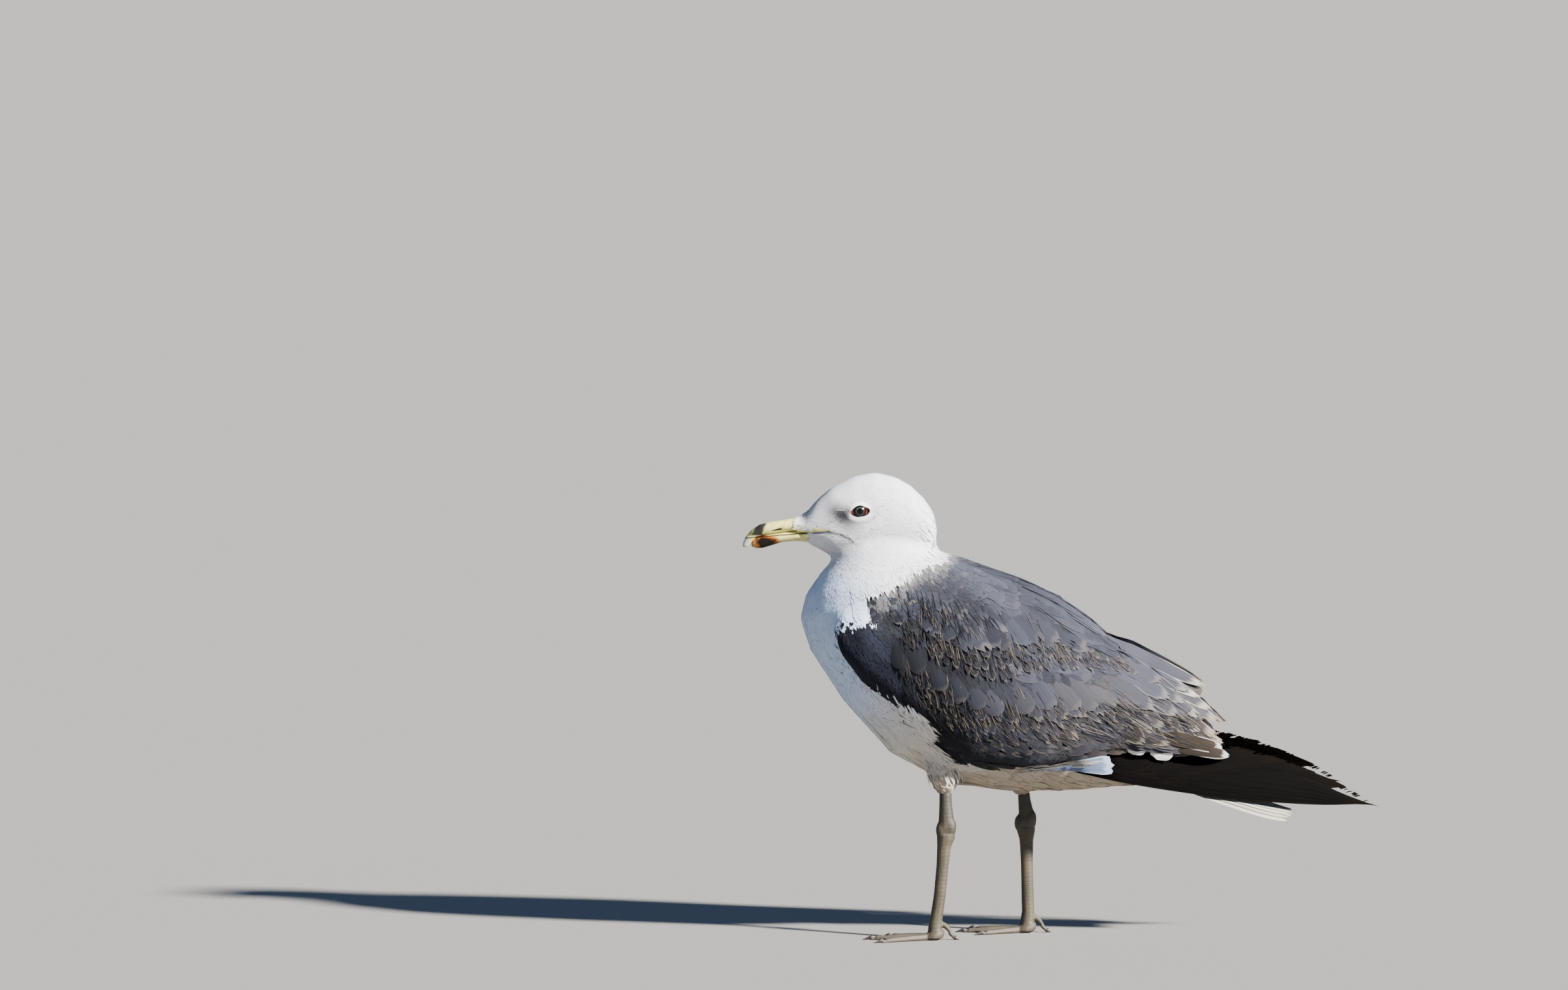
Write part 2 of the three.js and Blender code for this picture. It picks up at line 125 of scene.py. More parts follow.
# Shader maths
class Wire:
    def __init__(self, kit, socket):
        self.kit, self.socket = kit, socket

    def maths(self, operation, *others):
        return self.kit.node("ShaderNodeMath", {"operation": operation}, dict(enumerate((self, *others))))

    def __add__(self, other):
        return self.maths("ADD", other)

    def __radd__(self, other):
        return self.maths("ADD", other)

    def __sub__(self, other):
        return self.maths("SUBTRACT", other)

    def __rsub__(self, other):
        return self.kit.node("ShaderNodeMath", {"operation": "SUBTRACT"}, {0: other, 1: self})

    def __mul__(self, other):
        return self.maths("MULTIPLY", other)

    def __rmul__(self, other):
        return self.maths("MULTIPLY", other)

    def __truediv__(self, other):
        return self.maths("DIVIDE", other)

    def __pow__(self, other):
        return self.maths("POWER", other)

    def rise(self, low, high):
        settings = {"interpolation_type": "SMOOTHSTEP"}
        inputs = {"Value": self, "From Min": low, "From Max": high}
        return self.kit.node("ShaderNodeMapRange", settings, inputs, "Result")


class Kit:
    def __init__(self, name):
        self.material = bpy.data.materials.new(name)
        self.material.use_nodes = True
        self.tree = self.material.node_tree
        self.shader = self.tree.nodes["Principled BSDF"]

    def node(self, kind, settings=None, inputs=None, output=0):
        made = self.tree.nodes.new(kind)
        for key, value in (settings or {}).items():
            setattr(made, key, value)
        for key, value in (inputs or {}).items():
            self.put(made.inputs[key], value)
        return Wire(self, made.outputs[output])

    def put(self, socket, value):
        if isinstance(value, Wire):
            self.tree.links.new(value.socket, socket)
        elif isinstance(value, tuple) and len(value) == 3 and socket.type == "RGBA":
            socket.default_value = (*value, 1)
        else:
            socket.default_value = value

    def surface(self, **inputs):
        for key, value in inputs.items():
            self.put(self.shader.inputs[key.replace("_", " ")], value)

    def blend(self, amount, first, second):
        return self.node("ShaderNodeMix", {"data_type": "RGBA"}, {0: amount, 6: first, 7: second}, 2)

    def attribute(self, name, output="Color"):
        return self.node("ShaderNodeAttribute", {"attribute_name": name}, output=output)

    def place(self):
        return self.node("ShaderNodeTexCoord", output="Object")

    def parts(self, vector):
        made = self.tree.nodes.new("ShaderNodeSeparateXYZ")
        self.put(made.inputs[0], vector)
        return [Wire(self, out) for out in made.outputs]

    def vector(self, x, y, z):
        return self.node("ShaderNodeCombineXYZ", {}, {0: x, 1: y, 2: z})

    def noise(self, vector, scale, detail=2.0):
        return self.node("ShaderNodeTexNoise", {}, {"Vector": vector, "Scale": scale, "Detail": detail})

    def bump(self, height, strength, distance):
        inputs = {"Height": height, "Strength": strength, "Distance": distance}
        self.surface(Normal=self.node("ShaderNodeBump", {}, inputs))


# Feathers: colour by attribute, strands and worn edges by the vane's own map
def featherMaterial(name, look):
    kit = Kit(name)
    across, along, _ = kit.parts(kit.node("ShaderNodeUVMap", {"uv_map": "vane"}))
    side = (across - 0.5).maths("ABSOLUTE") * 2
    tone = kit.attribute("plumage")
    edge = kit.attribute("fringe")
    amount = kit.attribute("fringe", "Alpha")
    seed = kit.attribute("plumage", "Alpha") * 61
    fan = (across - 0.5) * (1.3 - 0.5 * along) * look["strands"]
    grain = kit.noise(kit.vector(fan + seed, along * look["run"], seed), 1.0, 3)
    ribs = grain.rise(0.32, 0.68)
    tip = along.rise(0.8, 1.0)
    rim = side.rise(0.74, 1.0) * along.rise(0.35, 0.8)
    worn = (tip.maths("MAXIMUM", rim) + (grain - 0.5) * look["fray"]).rise(0.25, 0.85) * amount
    shaft = (1 - side.rise(0.02, 0.08)) * (1 - along.rise(0.6, 0.95)) * look["shaft"]
    # the ribs' darkening is the barbs' own grain; the darkening towards the root is partly the grey down
    # there and partly painted shade under the feathers lying over it
    dim = ribs * look["depth"] + (1 - along.rise(0.2, 0.95)) * look["base"]
    shade = kit.blend(dim, tone, (0.0, 0.0, 0.0))
    colour = kit.blend(shaft, kit.blend(worn, shade, edge), (0.02, 0.018, 0.016))
    kit.surface(Base_Color=colour, Roughness=look["rough"], IOR=1.45)
    kit.shader.inputs["Specular IOR Level"].default_value = look["gloss"]
    kit.bump(ribs, look["bump"], 0.0003)
    return kit.material


def skinMaterial(name):
    kit = Kit(name)
    tone = kit.attribute("plumage")
    down = kit.noise(kit.place(), 500, 3)
    kit.surface(Base_Color=kit.blend(down * 0.15, tone, (0.3, 0.3, 0.32)), Roughness=0.95)
    kit.bump(down, 0.4, 0.0006)
    return kit.material


softPlume = featherMaterial("softPlume", {
    "strands": 5, "run": 1.2, "depth": 0.05, "base": 0.08, "fray": 0.5,
    "shaft": 0.0, "rough": 0.9, "gloss": 0.2, "bump": 0.3})
coverPlume = featherMaterial("coverPlume", {
    "strands": 13, "run": 1.1, "depth": 0.3, "base": 0.12, "fray": 0.9,
    "shaft": 0.08, "rough": 0.8, "gloss": 0.14, "bump": 0.5})
backPlume = featherMaterial("backPlume", {
    "strands": 22, "run": 0.8, "depth": 0.16, "base": 0.04, "fray": 0.7,
    "shaft": 0.05, "rough": 0.85, "gloss": 0.1, "bump": 0.2})
flightPlume = featherMaterial("flightPlume", {
    "strands": 16, "run": 3.0, "depth": 0.3, "base": 0.0, "fray": 0.6,
    "shaft": 0.0, "rough": 0.6, "gloss": 0.025, "bump": 0.4})
downSkin = skinMaterial("downSkin")
print("feather materials made")


# The envelope is the plumage's outer face, which the feathers follow.
envelope = {
    "puff": 0.35, "voxel": 2.0,
    # the dip where the forehead meets the bill
    "dipX": -200.5, "dipReach": 6.0, "dipDepth": 2.8,
}
fleshNodes = ["head", "neck", "trunk", "thigh_left", "thigh_right", "wing_left", "wing_right"]
faceNodes = ["eye_left", "eye_right", "eyelid_left", "eyelid_right"]
envelopeNodes = fleshNodes + faceNodes + ["bill_upper", "bill_lower"]
envelopeForm = remeshed(copyOfNodes(envelopeNodes, envelope["puff"]), envelope["voxel"], 4)
for v in envelopeForm.verts:
    x, z = v.co.x / mm, v.co.z / mm
    reach = (x - envelope["dipX"]) / envelope["dipReach"]
    v.co.z -= envelope["dipDepth"] * math.exp(-reach ** 2) * float(smooth(320, 330, z)) * mm
envelopeForm.normal_update()
envelopeTree = BVHTree.FromBMesh(envelopeForm)
envelopePoints = np.array([v.co for v in envelopeForm.verts]) / mm
envelopeNormals = np.array([v.normal for v in envelopeForm.verts])
for _ in range(2):
    # average each point's normal with its neighbours
    sums = envelopeNormals.copy()
    for e in envelopeForm.edges:
        a, b = e.verts[0].index, e.verts[1].index
        sums[a] += envelopeNormals[b]
        sums[b] += envelopeNormals[a]
    envelopeNormals = unit(sums)
faceCorners = [[v.index for v in f.verts] for f in envelopeForm.faces]
faceNormals = unit(np.array([envelopeNormals[corners].mean(0) for corners in faceCorners]))
print("envelope:", len(envelopePoints), "points")


def settle(points):
    found = np.empty_like(points)
    normals = np.empty_like(points)
    for i, p in enumerate(points):
        at, _, face, _ = envelopeTree.find_nearest(Vector(p * mm))
        found[i], normals[i] = np.array(at) / mm, faceNormals[face]
    return found, normals


wingTrees = []
for wingName in ("wing_left", "wing_right"):
    wingForm = copyOfNodes([wingName])
    wingTrees.append(BVHTree.FromBMesh(wingForm))
    wingForm.free()


def nearWing(points, reach):
    near = np.zeros(len(points), bool)
    for i, p in enumerate(points):
        tree = wingTrees[0 if p[1] < 0 else 1]
        near[i] = tree.find_nearest(Vector(p * mm), reach * mm)[0] is not None
    return near


# Lie and colour of the coat
bodyAxis = np.array([
    (-146, 332), (-141, 314), (-139, 303), (-141, 290), (-143, 281), (-139, 271), (-126, 256), (-100, 233),
    (-69, 208), (-37, 188), (-5, 176), (29, 166), (56, 157), (82, 148), (105, 139), (123, 132)], float)
axisRun = unit(np.gradient(bodyAxis, axis=0))
billRoot = np.array([-213.0, 0, 321])
eyeAt = np.array([-157.8, 22.0, 336.4])


def bodyLie(points):
    gap = np.linalg.norm(points[:, None, [0, 2]] - bodyAxis[None], axis=2)
    weight = np.exp(-(gap - gap.min(axis=1, keepdims=True)) / 9)
    run = (weight[:, :, None] * axisRun[None]).sum(axis=1)
    trunkWay = unit(np.stack([run[:, 0], np.zeros(len(run)), run[:, 1]], 1))
    fromBill = unit(points - billRoot)
    fall = smooth(-195, -120, points[:, 0]) * 1.5
    headWay = unit(fromBill * [1, 0.6, 1] + np.stack([fall * 0.1, 0 * fall, -fall], 1))
    onHead = smooth(296, 314, points[:, 2] + (points[:, 0] + 140) * -0.12)[:, None]
    return unit(mix(trunkWay, headWay, onHead))


def wingAngle(x, z):
    # fall of the wing's feathers below the rear horizon
    angle = np.interp(x, [-170, -120, -69, 0, 40, 95], [82, 80, 72, 58, 43, 33])
    low = smooth(185, 135, z)
    return np.radians(angle - low * np.interp(x, [-120, -50, 60], [26, 26, 10]))


def wingWay(points):
    angle = wingAngle(points[:, 0], points[:, 2])
    return np.stack([np.cos(angle), np.zeros(len(angle)), -np.sin(angle)], 1)


def alongSurface(way, normals):
    return unit(way - normals * (way * normals).sum(1, keepdims=True))


tones = {
    "white": (0.66, 0.67, 0.70), "cream": (0.47, 0.41, 0.31), "grey": (0.033, 0.036, 0.049),
    "covertShade": (0.019, 0.020, 0.027), "brown": (0.047, 0.037, 0.030), "buff": (0.22, 0.175, 0.13),
    "pale": (0.55, 0.53, 0.50), "black": (0.0016, 0.0012, 0.001), "wornBlack": (0.006, 0.0035, 0.0022),
    "smudge": (0.011, 0.0105, 0.016), "crescent": (0.93, 0.93, 0.93), "bendShade": (0.009, 0.0115, 0.021),
    "blue": (0.13, 0.165, 0.27), "paleBlue": (0.36, 0.42, 0.56),
}
tone = {name: np.array(value) for name, value in tones.items()}


def patches(points, size, seed):
    # soft irregular blotches between 0 and 1
    turn = np.random.default_rng(seed)
    total = np.zeros(len(points))
    for _ in range(5):
        way = turn.normal(size=3)
        wave = size * turn.uniform(0.6, 1.6)
        total += np.sin(points @ (way / np.linalg.norm(way)) * 2 * np.pi / wave + turn.uniform(0, 6.28))
    return np.clip(total / 5 + 0.5, 0, 1)


def backTop(x):
    # height of the white neck's lower edge
    return np.interp(
        x, [-153, -138, -130, -120, -110, -96, -80], [271.5, 278.5, 285, 293.5, 298.5, 301.5, 320])


def mantleFront(z):
    # how far forward the grey back reaches
    return np.interp(z, [240, 249, 259, 280], [-140, -143, -152.5, -153.5])


def mantleShare(points):
    # 1 on the grey back, 0 on the white neck and breast
    x, y, z = points.T
    wave = patches(points, 14, 3) * 3 - 1.5
    front = mantleFront(z)
    grey = smooth(-2.5, 2.5, backTop(x) - z + wave) * smooth(-2, 2, x - front + wave * 0.6)
    return grey * smooth(226, 232, z + (x + 150) * 0.3)


def plumageTone(points, kind):
    # kind is body (white and grey), white or wing
    x, y, z = points.T
    belly = smooth(215, 150, z)[:, None]
    white = mix(tone["white"], tone["cream"], belly * (0.55 + 0.3 * patches(points, 40, 5)[:, None]))
    # painted bluish shade down the front of the neck, and painted darker, warmer shade underneath
    neckShade = (smooth(-130, -175, x) * smooth(308, 290, z) * smooth(150, 200, z))[:, None]
    white = white * mix(1, np.array([0.72, 0.87, 1.08]), neckShade)
    white = white * mix(1, np.array([0.62, 0.56, 0.48]), smooth(160, 122, z)[:, None])
    # the dark smudge before the eye lies aslant, and faint ones lie behind and under it
    along, aside = (x + 171.3) * 0.76 - (z - 333) * 0.65, (x + 171.3) * 0.65 + (z - 333) * 0.76
    smudge = np.exp(-((along / 14.2) ** 2 + (aside / 8.6) ** 2) ** 1.2) * 0.975
    behind = np.exp(-(((x + 141) / 9) ** 2 + ((z - 338) / 2.6) ** 2)) * 0.16
    under = np.exp(-(((x + 158) / 7) ** 2 + ((z - 325) / 3.0) ** 2)) * 0.13
    # painted shade along the fold below the gape and under the chin, in the smudge's dark tone
    creaseZ = np.interp(x, [-182, -173, -165, -160], [319.5, 317.7, 314.2, 309.5])
    crease = np.exp(-((z - creaseZ) / 1.3) ** 2) * smooth(-186, -180, x) * smooth(-157, -163, x) * 0.8
    chinShade = smooth(-190, -178, x) * smooth(-152, -162, x) * smooth(316, 308, z) * smooth(294, 302, z) * 0.2
    dark = np.clip(smudge + behind + under + crease + chinShade, 0, 0.975)
    white = mix(white, tone["smudge"], dark[:, None])
    # white crescents above and below the eye, brighter than the head's other white: partly the eyelids' white
    # feathers, partly painted light
    ring = np.hypot((x - eyeAt[0]) / 1.5, z - eyeAt[2])
    lit = smooth(8.5, 6.5, ring) * smooth(0.9, 2.2, np.abs(z - eyeAt[2])) * (x < -143)
    lit = lit * smooth(-168, -163.5, x)
    white = mix(white, tone["crescent"], (lit * 0.9)[:, None])
    if kind == "body":
        grey = tone["grey"] * (0.9 + 0.25 * patches(points, 30, 8)[:, None])
        return mix(white, grey, mantleShare(points)[:, None])
    if kind == "white":
        return white
    back = smooth(-40, 90, x)[:, None]
    # darker lower down the wing: painted shade
    grey = mix(tone["covertShade"], tone["grey"], smooth(215, 260, z)[:, None])
    brown = back * smooth(0.35, 0.8, patches(points, 36, 9))[:, None] * 0.75
    return mix(grey, tone["brown"], brown) * (0.85 + 0.3 * patches(points, 22, 11)[:, None])


# One skin under the whole coat, deeper on the body than on the head.
skin = {"puff": 0.2, "voxel": 2.4, "headDepth": 2.6, "bodyDepth": 6.0, "faceDepth": 1.2}


def makeSkin():
    form = remeshed(copyOfNodes(fleshNodes + faceNodes, skin["puff"]), skin["voxel"], 4)
    form.normal_update()
    tree = BVHTree.FromBMesh(form)
    points = np.array([v.co for v in form.verts]) / mm
    normals = np.array([v.normal for v in form.verts])
    depth = mix(skin["bodyDepth"], skin["headDepth"], smooth(285, 315, points[:, 2]))
    depth = mix(skin["faceDepth"], depth, smooth(8, 30, np.linalg.norm(points - billRoot, axis=1)))
    for v, normal, d in zip(form.verts, normals, depth):
        # no deeper than a third of the way through, so that thin places stay whole
        inward = Vector(-normal)
        hit = tree.ray_cast(v.co + inward * 0.0004, inward, 0.05)
        room = hit[3] / mm if hit[0] is not None else 50
        v.co += inward * (min(d, room * 0.3) * mm)
    smoothForm(form, 3)
    mesh = meshOf(form, "skin")
    form.free()
    onWing = nearWing(points, 2.0)
    colours = plumageTone(points, "body")
    colours[onWing] = plumageTone(points[onWing], "wing")
    layer = mesh.color_attributes.new("plumage", "FLOAT_COLOR", "POINT")
    layer.data.foreach_set("color", np.column_stack([colours, np.ones(len(colours))]).ravel())
    piece = newObject("skin", mesh, downSkin)
    finishPiece(piece, fleshNodes)
    print("skin:", len(mesh.polygons), "faces")


makeSkin()


# Feathers are joined meshes. A vane has columns across it, places along it and a share of width at each.
vaneRows = {
    "soft": (3, [0, 0.3, 0.62, 0.86, 1], [0.4, 0.95, 1.0, 0.66, 0.12]),
    "cover": (5, [0, 0.22, 0.45, 0.66, 0.83, 0.94, 1], [0.3, 0.78, 0.98, 1.0, 0.84, 0.55, 0.2]),
    "broad": (7, [0, 0.2, 0.42, 0.62, 0.78, 0.9, 0.97, 1], [0.3, 0.75, 0.97, 1.0, 0.94, 0.74, 0.5, 0.3]),
    "fine": (3, [0, 0.4, 0.78, 1], [0.45, 1.0, 0.8, 0.12]),
    "sliver": (3, [0, 0.35, 0.72, 1], [0.5, 1.0, 0.7, 0.08]),
}
vaneShapes = {
    name: (np.linspace(-1, 1, n), np.array(v), np.array(wide)) for name, (n, v, wide) in vaneRows.items()
}


def unwrapPlace(points):
    # a roll of the body's own surface: length along its axis, and the angle round it
    gap = np.linalg.norm(points[:, None, [0, 2]] - bodyAxis[None], axis=2)
    nearest = gap.argmin(axis=1)
    run = axisRun[nearest]
    off = points[:, [0, 2]] - bodyAxis[nearest]
    further = (off * run).sum(1)
    length = np.concatenate([[0], np.cumsum(np.linalg.norm(np.diff(bodyAxis, axis=0), axis=1))])
    along = length[nearest] + further
    up = off[:, 1] * run[:, 0] - off[:, 0] * run[:, 1]
    angle = np.arctan2(points[:, 1], up) / (2 * np.pi) + 0.5
    return np.stack([along, angle], 1)


def spread(values):
    low, high = values.min(0), values.max(0)
    return 0.01 + 0.975 * (values - low) / np.maximum(high - low, 1e-6)


def quadsOf(grid):
    # the four corners of each face of a grid of vertex numbers
    return np.stack([grid[:-1, :-1], grid[:-1, 1:], grid[1:, 1:], grid[1:, :-1]], -1).reshape(-1, 4)


class Coat:
    # gathers vanes of one shape, then joins them in one mesh
    def __init__(self, name, shape, material, slotName, soften):
        self.name, self.material, self.slotName = name, material, slotName
        self.soften = soften  # share of the body's own shading, so that the coat reads as one
        self.x, self.v, self.profile = vaneShapes[shape] if isinstance(shape, str) else shape
        self.blocks, self.leans, self.colours, self.fringes, self.roots = [], [], [], [], []

    # centres and ups are feathers x rows x 3; half is one number each, or one for each row
    def add(self, centres, ups, half, camber, thickness, fray, colour, fringe, amount, soften=None):
        n = len(centres)
        run = np.gradient(centres, axis=1)
        across = unit(np.cross(run, ups))
        normals = unit(np.cross(across, run))
        width = half if half.ndim == 2 else half[:, None] * self.profile[None]
        ends = rng.uniform(-1, 0.35, (n, 1, len(self.x))) * fray * self.v[None, :, None] ** 6
        length = np.linalg.norm(np.diff(centres, axis=1), axis=2).sum(1)
        forward = unit(run)[:, :, None] * (ends * length[:, None, None])[..., None]
        offset = self.x[None, None, :] * width[:, :, None]
        sunk = -camber * self.x[None, None, :] ** 2 * width[:, :, None]
        top = centres[:, :, None] + across[:, :, None] * offset[..., None] + forward
        top = top + normals[:, :, None] * sunk[..., None]
        facing = unit(np.cross(np.gradient(top, axis=2), np.gradient(top, axis=1)))
        facing = unit(mix(facing, ups[:, :, None], self.soften if soften is None else soften))
        inner = top[:, 1:-1, 1:-1] - normals[:, 1:-1, None] * np.reshape(thickness, (-1, 1, 1, 1))
        self.blocks.append(np.concatenate([top.reshape(n, -1, 3), inner.reshape(n, -1, 3)], 1))
        self.leans.append(facing.reshape(n, -1, 3))
        self.colours.append(np.column_stack([colour, rng.uniform(0, 1, n)]))
        self.fringes.append(np.column_stack([fringe, amount]))
        self.roots.append(centres[:, 0])

    def make(self, replaced=()):
        # each vane has an upper and a lower face, joined along its edge
        blocks, leans = np.concatenate(self.blocks), np.concatenate(self.leans)
        n, r, c = len(blocks), len(self.v), len(self.x)
        index = np.arange(r * c).reshape(r, c)
        under = index.copy()
        under[1:-1, 1:-1] = r * c + np.arange((r - 2) * (c - 2)).reshape(r - 2, c - 2)
        upper, lower = quadsOf(index), quadsOf(under)[:, ::-1]
        quads = np.concatenate([upper, lower])
        size = blocks.shape[1]
        faces = (quads[None] + (np.arange(n) * size)[:, None, None]).reshape(-1, 4)
        mesh = bpy.data.meshes.new(self.name)
        mesh.vertices.add(n * size)
        mesh.vertices.foreach_set("co", blocks.reshape(-1) * mm)
        mesh.loops.add(len(faces) * 4)
        mesh.loops.foreach_set("vertex_index", faces.ravel())
        mesh.polygons.add(len(faces))
        mesh.polygons.foreach_set("loop_start", np.arange(len(faces)) * 4)
        mesh.update()
        grid = np.column_stack([np.tile((self.x + 1) / 2, r), np.repeat(self.v, c)])
        own = np.concatenate([grid, grid.reshape(r, c, 2)[1:-1, 1:-1].reshape(-1, 2)])
        mesh.uv_layers.new(name="vane").data.foreach_set("uv", np.tile(own, (n, 1))[faces.ravel()].ravel())
        # each vane is a small patch at its root's place on the unwrap
        patch = spread(unwrapPlace(np.concatenate(self.roots)))
        baked = (patch[:, None] + (own[None] - 0.5) * 0.003).reshape(-1, 2)
        mesh.uv_layers.new(name="OFBake").data.foreach_set("uv", baked[faces.ravel()].ravel())
        for label, values in (("plumage", self.colours), ("fringe", self.fringes)):
            layer = mesh.color_attributes.new(label, "FLOAT_COLOR", "POINT")
            layer.data.foreach_set("color", np.repeat(np.concatenate(values), size, axis=0).ravel())
        piece = newObject(self.name, mesh, self.material)
        # shading follows the lie of the coat on both faces of each vane
        shown = np.concatenate([index.ravel()[upper], -1 - quadsOf(index)[:, ::-1]]).reshape(-1)
        sign = np.where(shown < 0, -1.0, 1.0)
        shown = np.where(shown < 0, -1 - shown, shown)
        mesh.normals_split_custom_set((leans[:, shown] * sign[None, :, None]).reshape(-1, 3))
        finishPiece(piece, replaced)
        print(self.name + ":", n, "feathers,", len(faces) * 2, "triangles")


def growCentres(roots, way, lengths, v, root, tip):
    # marches each shaft over the envelope, sunk by root at its base and raised by tip at its end
    points, normals = settle(roots)
    centres = np.empty((len(roots), len(v), 3))
    ups = np.empty_like(centres)
    for k, share in enumerate(v):
        if k:
            heading = alongSurface(way(points), normals)
            points, normals = settle(points + heading * (lengths * (share - v[k - 1]))[:, None])
        centres[:, k] = points + normals * mix(-root, tip, share ** 0.7)[:, None]
        ups[:, k] = normals
    return centres, ups


def evenPoints(spacing, keep, seed):
    # nearly even, unordered places on the envelope
    turn = np.random.default_rng(seed)
    lattice = remeshed(envelopeForm.copy(), spacing, 1)
    points = np.array([v.co for v in lattice.verts]) / mm
    lattice.free()
    points = points[keep(points)]
    points = points + turn.uniform(-0.42, 0.42, points.shape) * spacing
    return settle(points)[0]


# How far out the dressed side of the body stands, as a map seen from the side
outline = {"x0": -215, "z0": 84, "step": 3.0, "columns": 160, "rows": 90}


def readSide(side):
    names = fleshNodes + [part + s for part in ("tertials", "primaries") for s in ("_left", "_right")]
    form = copyOfNodes(names)
    tree = BVHTree.FromBMesh(form)
    form.free()
    stand = np.full((outline["rows"], outline["columns"]), np.nan)
    for i in range(outline["rows"]):
        for j in range(outline["columns"]):
            x, z = outline["x0"] + j * outline["step"], outline["z0"] + i * outline["step"]
            hit = tree.ray_cast(Vector((x, side * 300, z)) * mm, Vector((0, -side, 0)))[0]
            if hit is not None and hit.y * side > 0:
                stand[i, j] = abs(hit.y) / mm
    inside = (~np.isnan(stand)).astype(float)
    # grow the map past the outline, then soften it
    steps = [(a, b) for a in (-1, 0, 1) for b in (-1, 0, 1)]
    high, wide = stand.shape
    for k in range(24):
        padded = np.pad(stand, 1, constant_values=np.nan)
        around = [padded[1 + a:1 + a + high, 1 + b:1 + b + wide] for a, b in steps]
        known = np.nansum(~np.isnan(around), axis=0)
        mean = np.nansum(around, axis=0) / np.maximum(known, 1)
        if k < 21:
            stand = np.where(np.isnan(stand) & (known > 0), mean, stand)
        else:
            stand = mean
    return np.nan_to_num(stand, nan=1.0), inside


sideStand, sideInside = {}, {}
for side in (-1, 1):
    sideStand[side], sideInside[side] = readSide(side)
sideSlope = {side: np.gradient(stand, outline["step"]) for side, stand in sideStand.items()}


def sample(grid, x, z):
    j = np.clip((x - outline["x0"]) / outline["step"], 0, outline["columns"] - 1.001)
    i = np.clip((z - outline["z0"]) / outline["step"], 0, outline["rows"] - 1.001)
    i0, j0 = i.astype(int), j.astype(int)
    a, b = i - i0, j - j0
    near = grid[i0, j0] * (1 - b) + grid[i0, j0 + 1] * b
    far = grid[i0 + 1, j0] * (1 - b) + grid[i0 + 1, j0 + 1] * b
    return near * (1 - a) + far * a


def onSide(x, z, side, level):
    y = sample(sideStand[side], x, z) + level
    slopeZ, slopeX = sideSlope[side]
    steep = np.clip(sample(slopeZ, x, z), -1.6, 1.6)
    lean = np.clip(sample(slopeX, x, z), -1.0, 1.0)
    centres = np.stack([x, side * y, z], -1)
    return centres, unit(np.stack([-lean, np.full(x.shape, float(side)), -steep], -1))


def backed(x, z, side, margin=2.5):
    # true where a feather's shaft lies within the outline of the dressed body
    shaft = x.shape[1] - 1
    return (sample(sideInside[side], x[:, :shaft], z[:, :shaft] + margin) > 0.5).all(1)


def hungFrom(tips, angles, lengths, v, curl):
    # lines in the side view that end at their tips; angles are below the rear horizon
    turn = angles[:, None] + (v[None] - 0.5) * curl
    step = np.diff(v, prepend=0)[None] * lengths[:, None]
    x, z = np.cumsum(np.cos(turn) * step, axis=1), np.cumsum(-np.sin(turn) * step, axis=1)
    return x - x[:, -1:] + tips[:, :1], z - z[:, -1:] + tips[:, 1:]


def alongPath(path, s):
    path = np.asarray(path, float)
    run = np.concatenate([[0], np.cumsum(np.linalg.norm(np.diff(path, axis=0), axis=1))])
    return np.stack([np.interp(s * run[-1], run, path[:, k]) for k in (0, 1)], 1)


def aroundEye(points):
    reach = np.hypot((points[:, 0] - eyeAt[0]) / 1.6, points[:, 2] - eyeAt[2])
    return reach + np.maximum(0, 12 - np.abs(points[:, 1])) * 2


def bodyWay(points):
    way = bodyLie(points)
    near = np.exp(-np.maximum(aroundEye(points) - 6, 0) / 5) * (points[:, 2] > 320)
    away = np.zeros_like(points)
    away[:, 2] = np.sign(points[:, 2] - eyeAt[2] + 0.01)
    return unit(way + away * (near * smooth(-146, -160, points[:, 0]))[:, None] * 0.8)


# The strip of gape that runs back from the bill under the eye
gape = {"front": -214.0, "rear": -181.0, "rows": 12, "thickness": 0.8}


def gapeHeight(x):
    return np.interp(x, [-214, -206, -195, -182], [319.2, 319.2, 319.1, 319.6])


def bareBill(points):
    # the bill's own horn, with the gape
    x, y, z = points.T
    strip = np.abs(z - gapeHeight(x)) < np.interp(x, [-212, -195, -181], [2.6, 1.0, 0.2])
    strip = strip & (x < gape["rear"])
    return ((z >= 321) & (x < -209.5)) | ((z < 317.5) & (x < -198.5)) | strip


# Head and upper neck
headCoat = {"face": 4.0, "nape": 12.0, "width": 0.15, "thickness": 0.1, "spacing": 1.32, "eyeGap": 6.3}


def headLine(points):
    return 303 + (points[:, 0] + 140) * 0.1


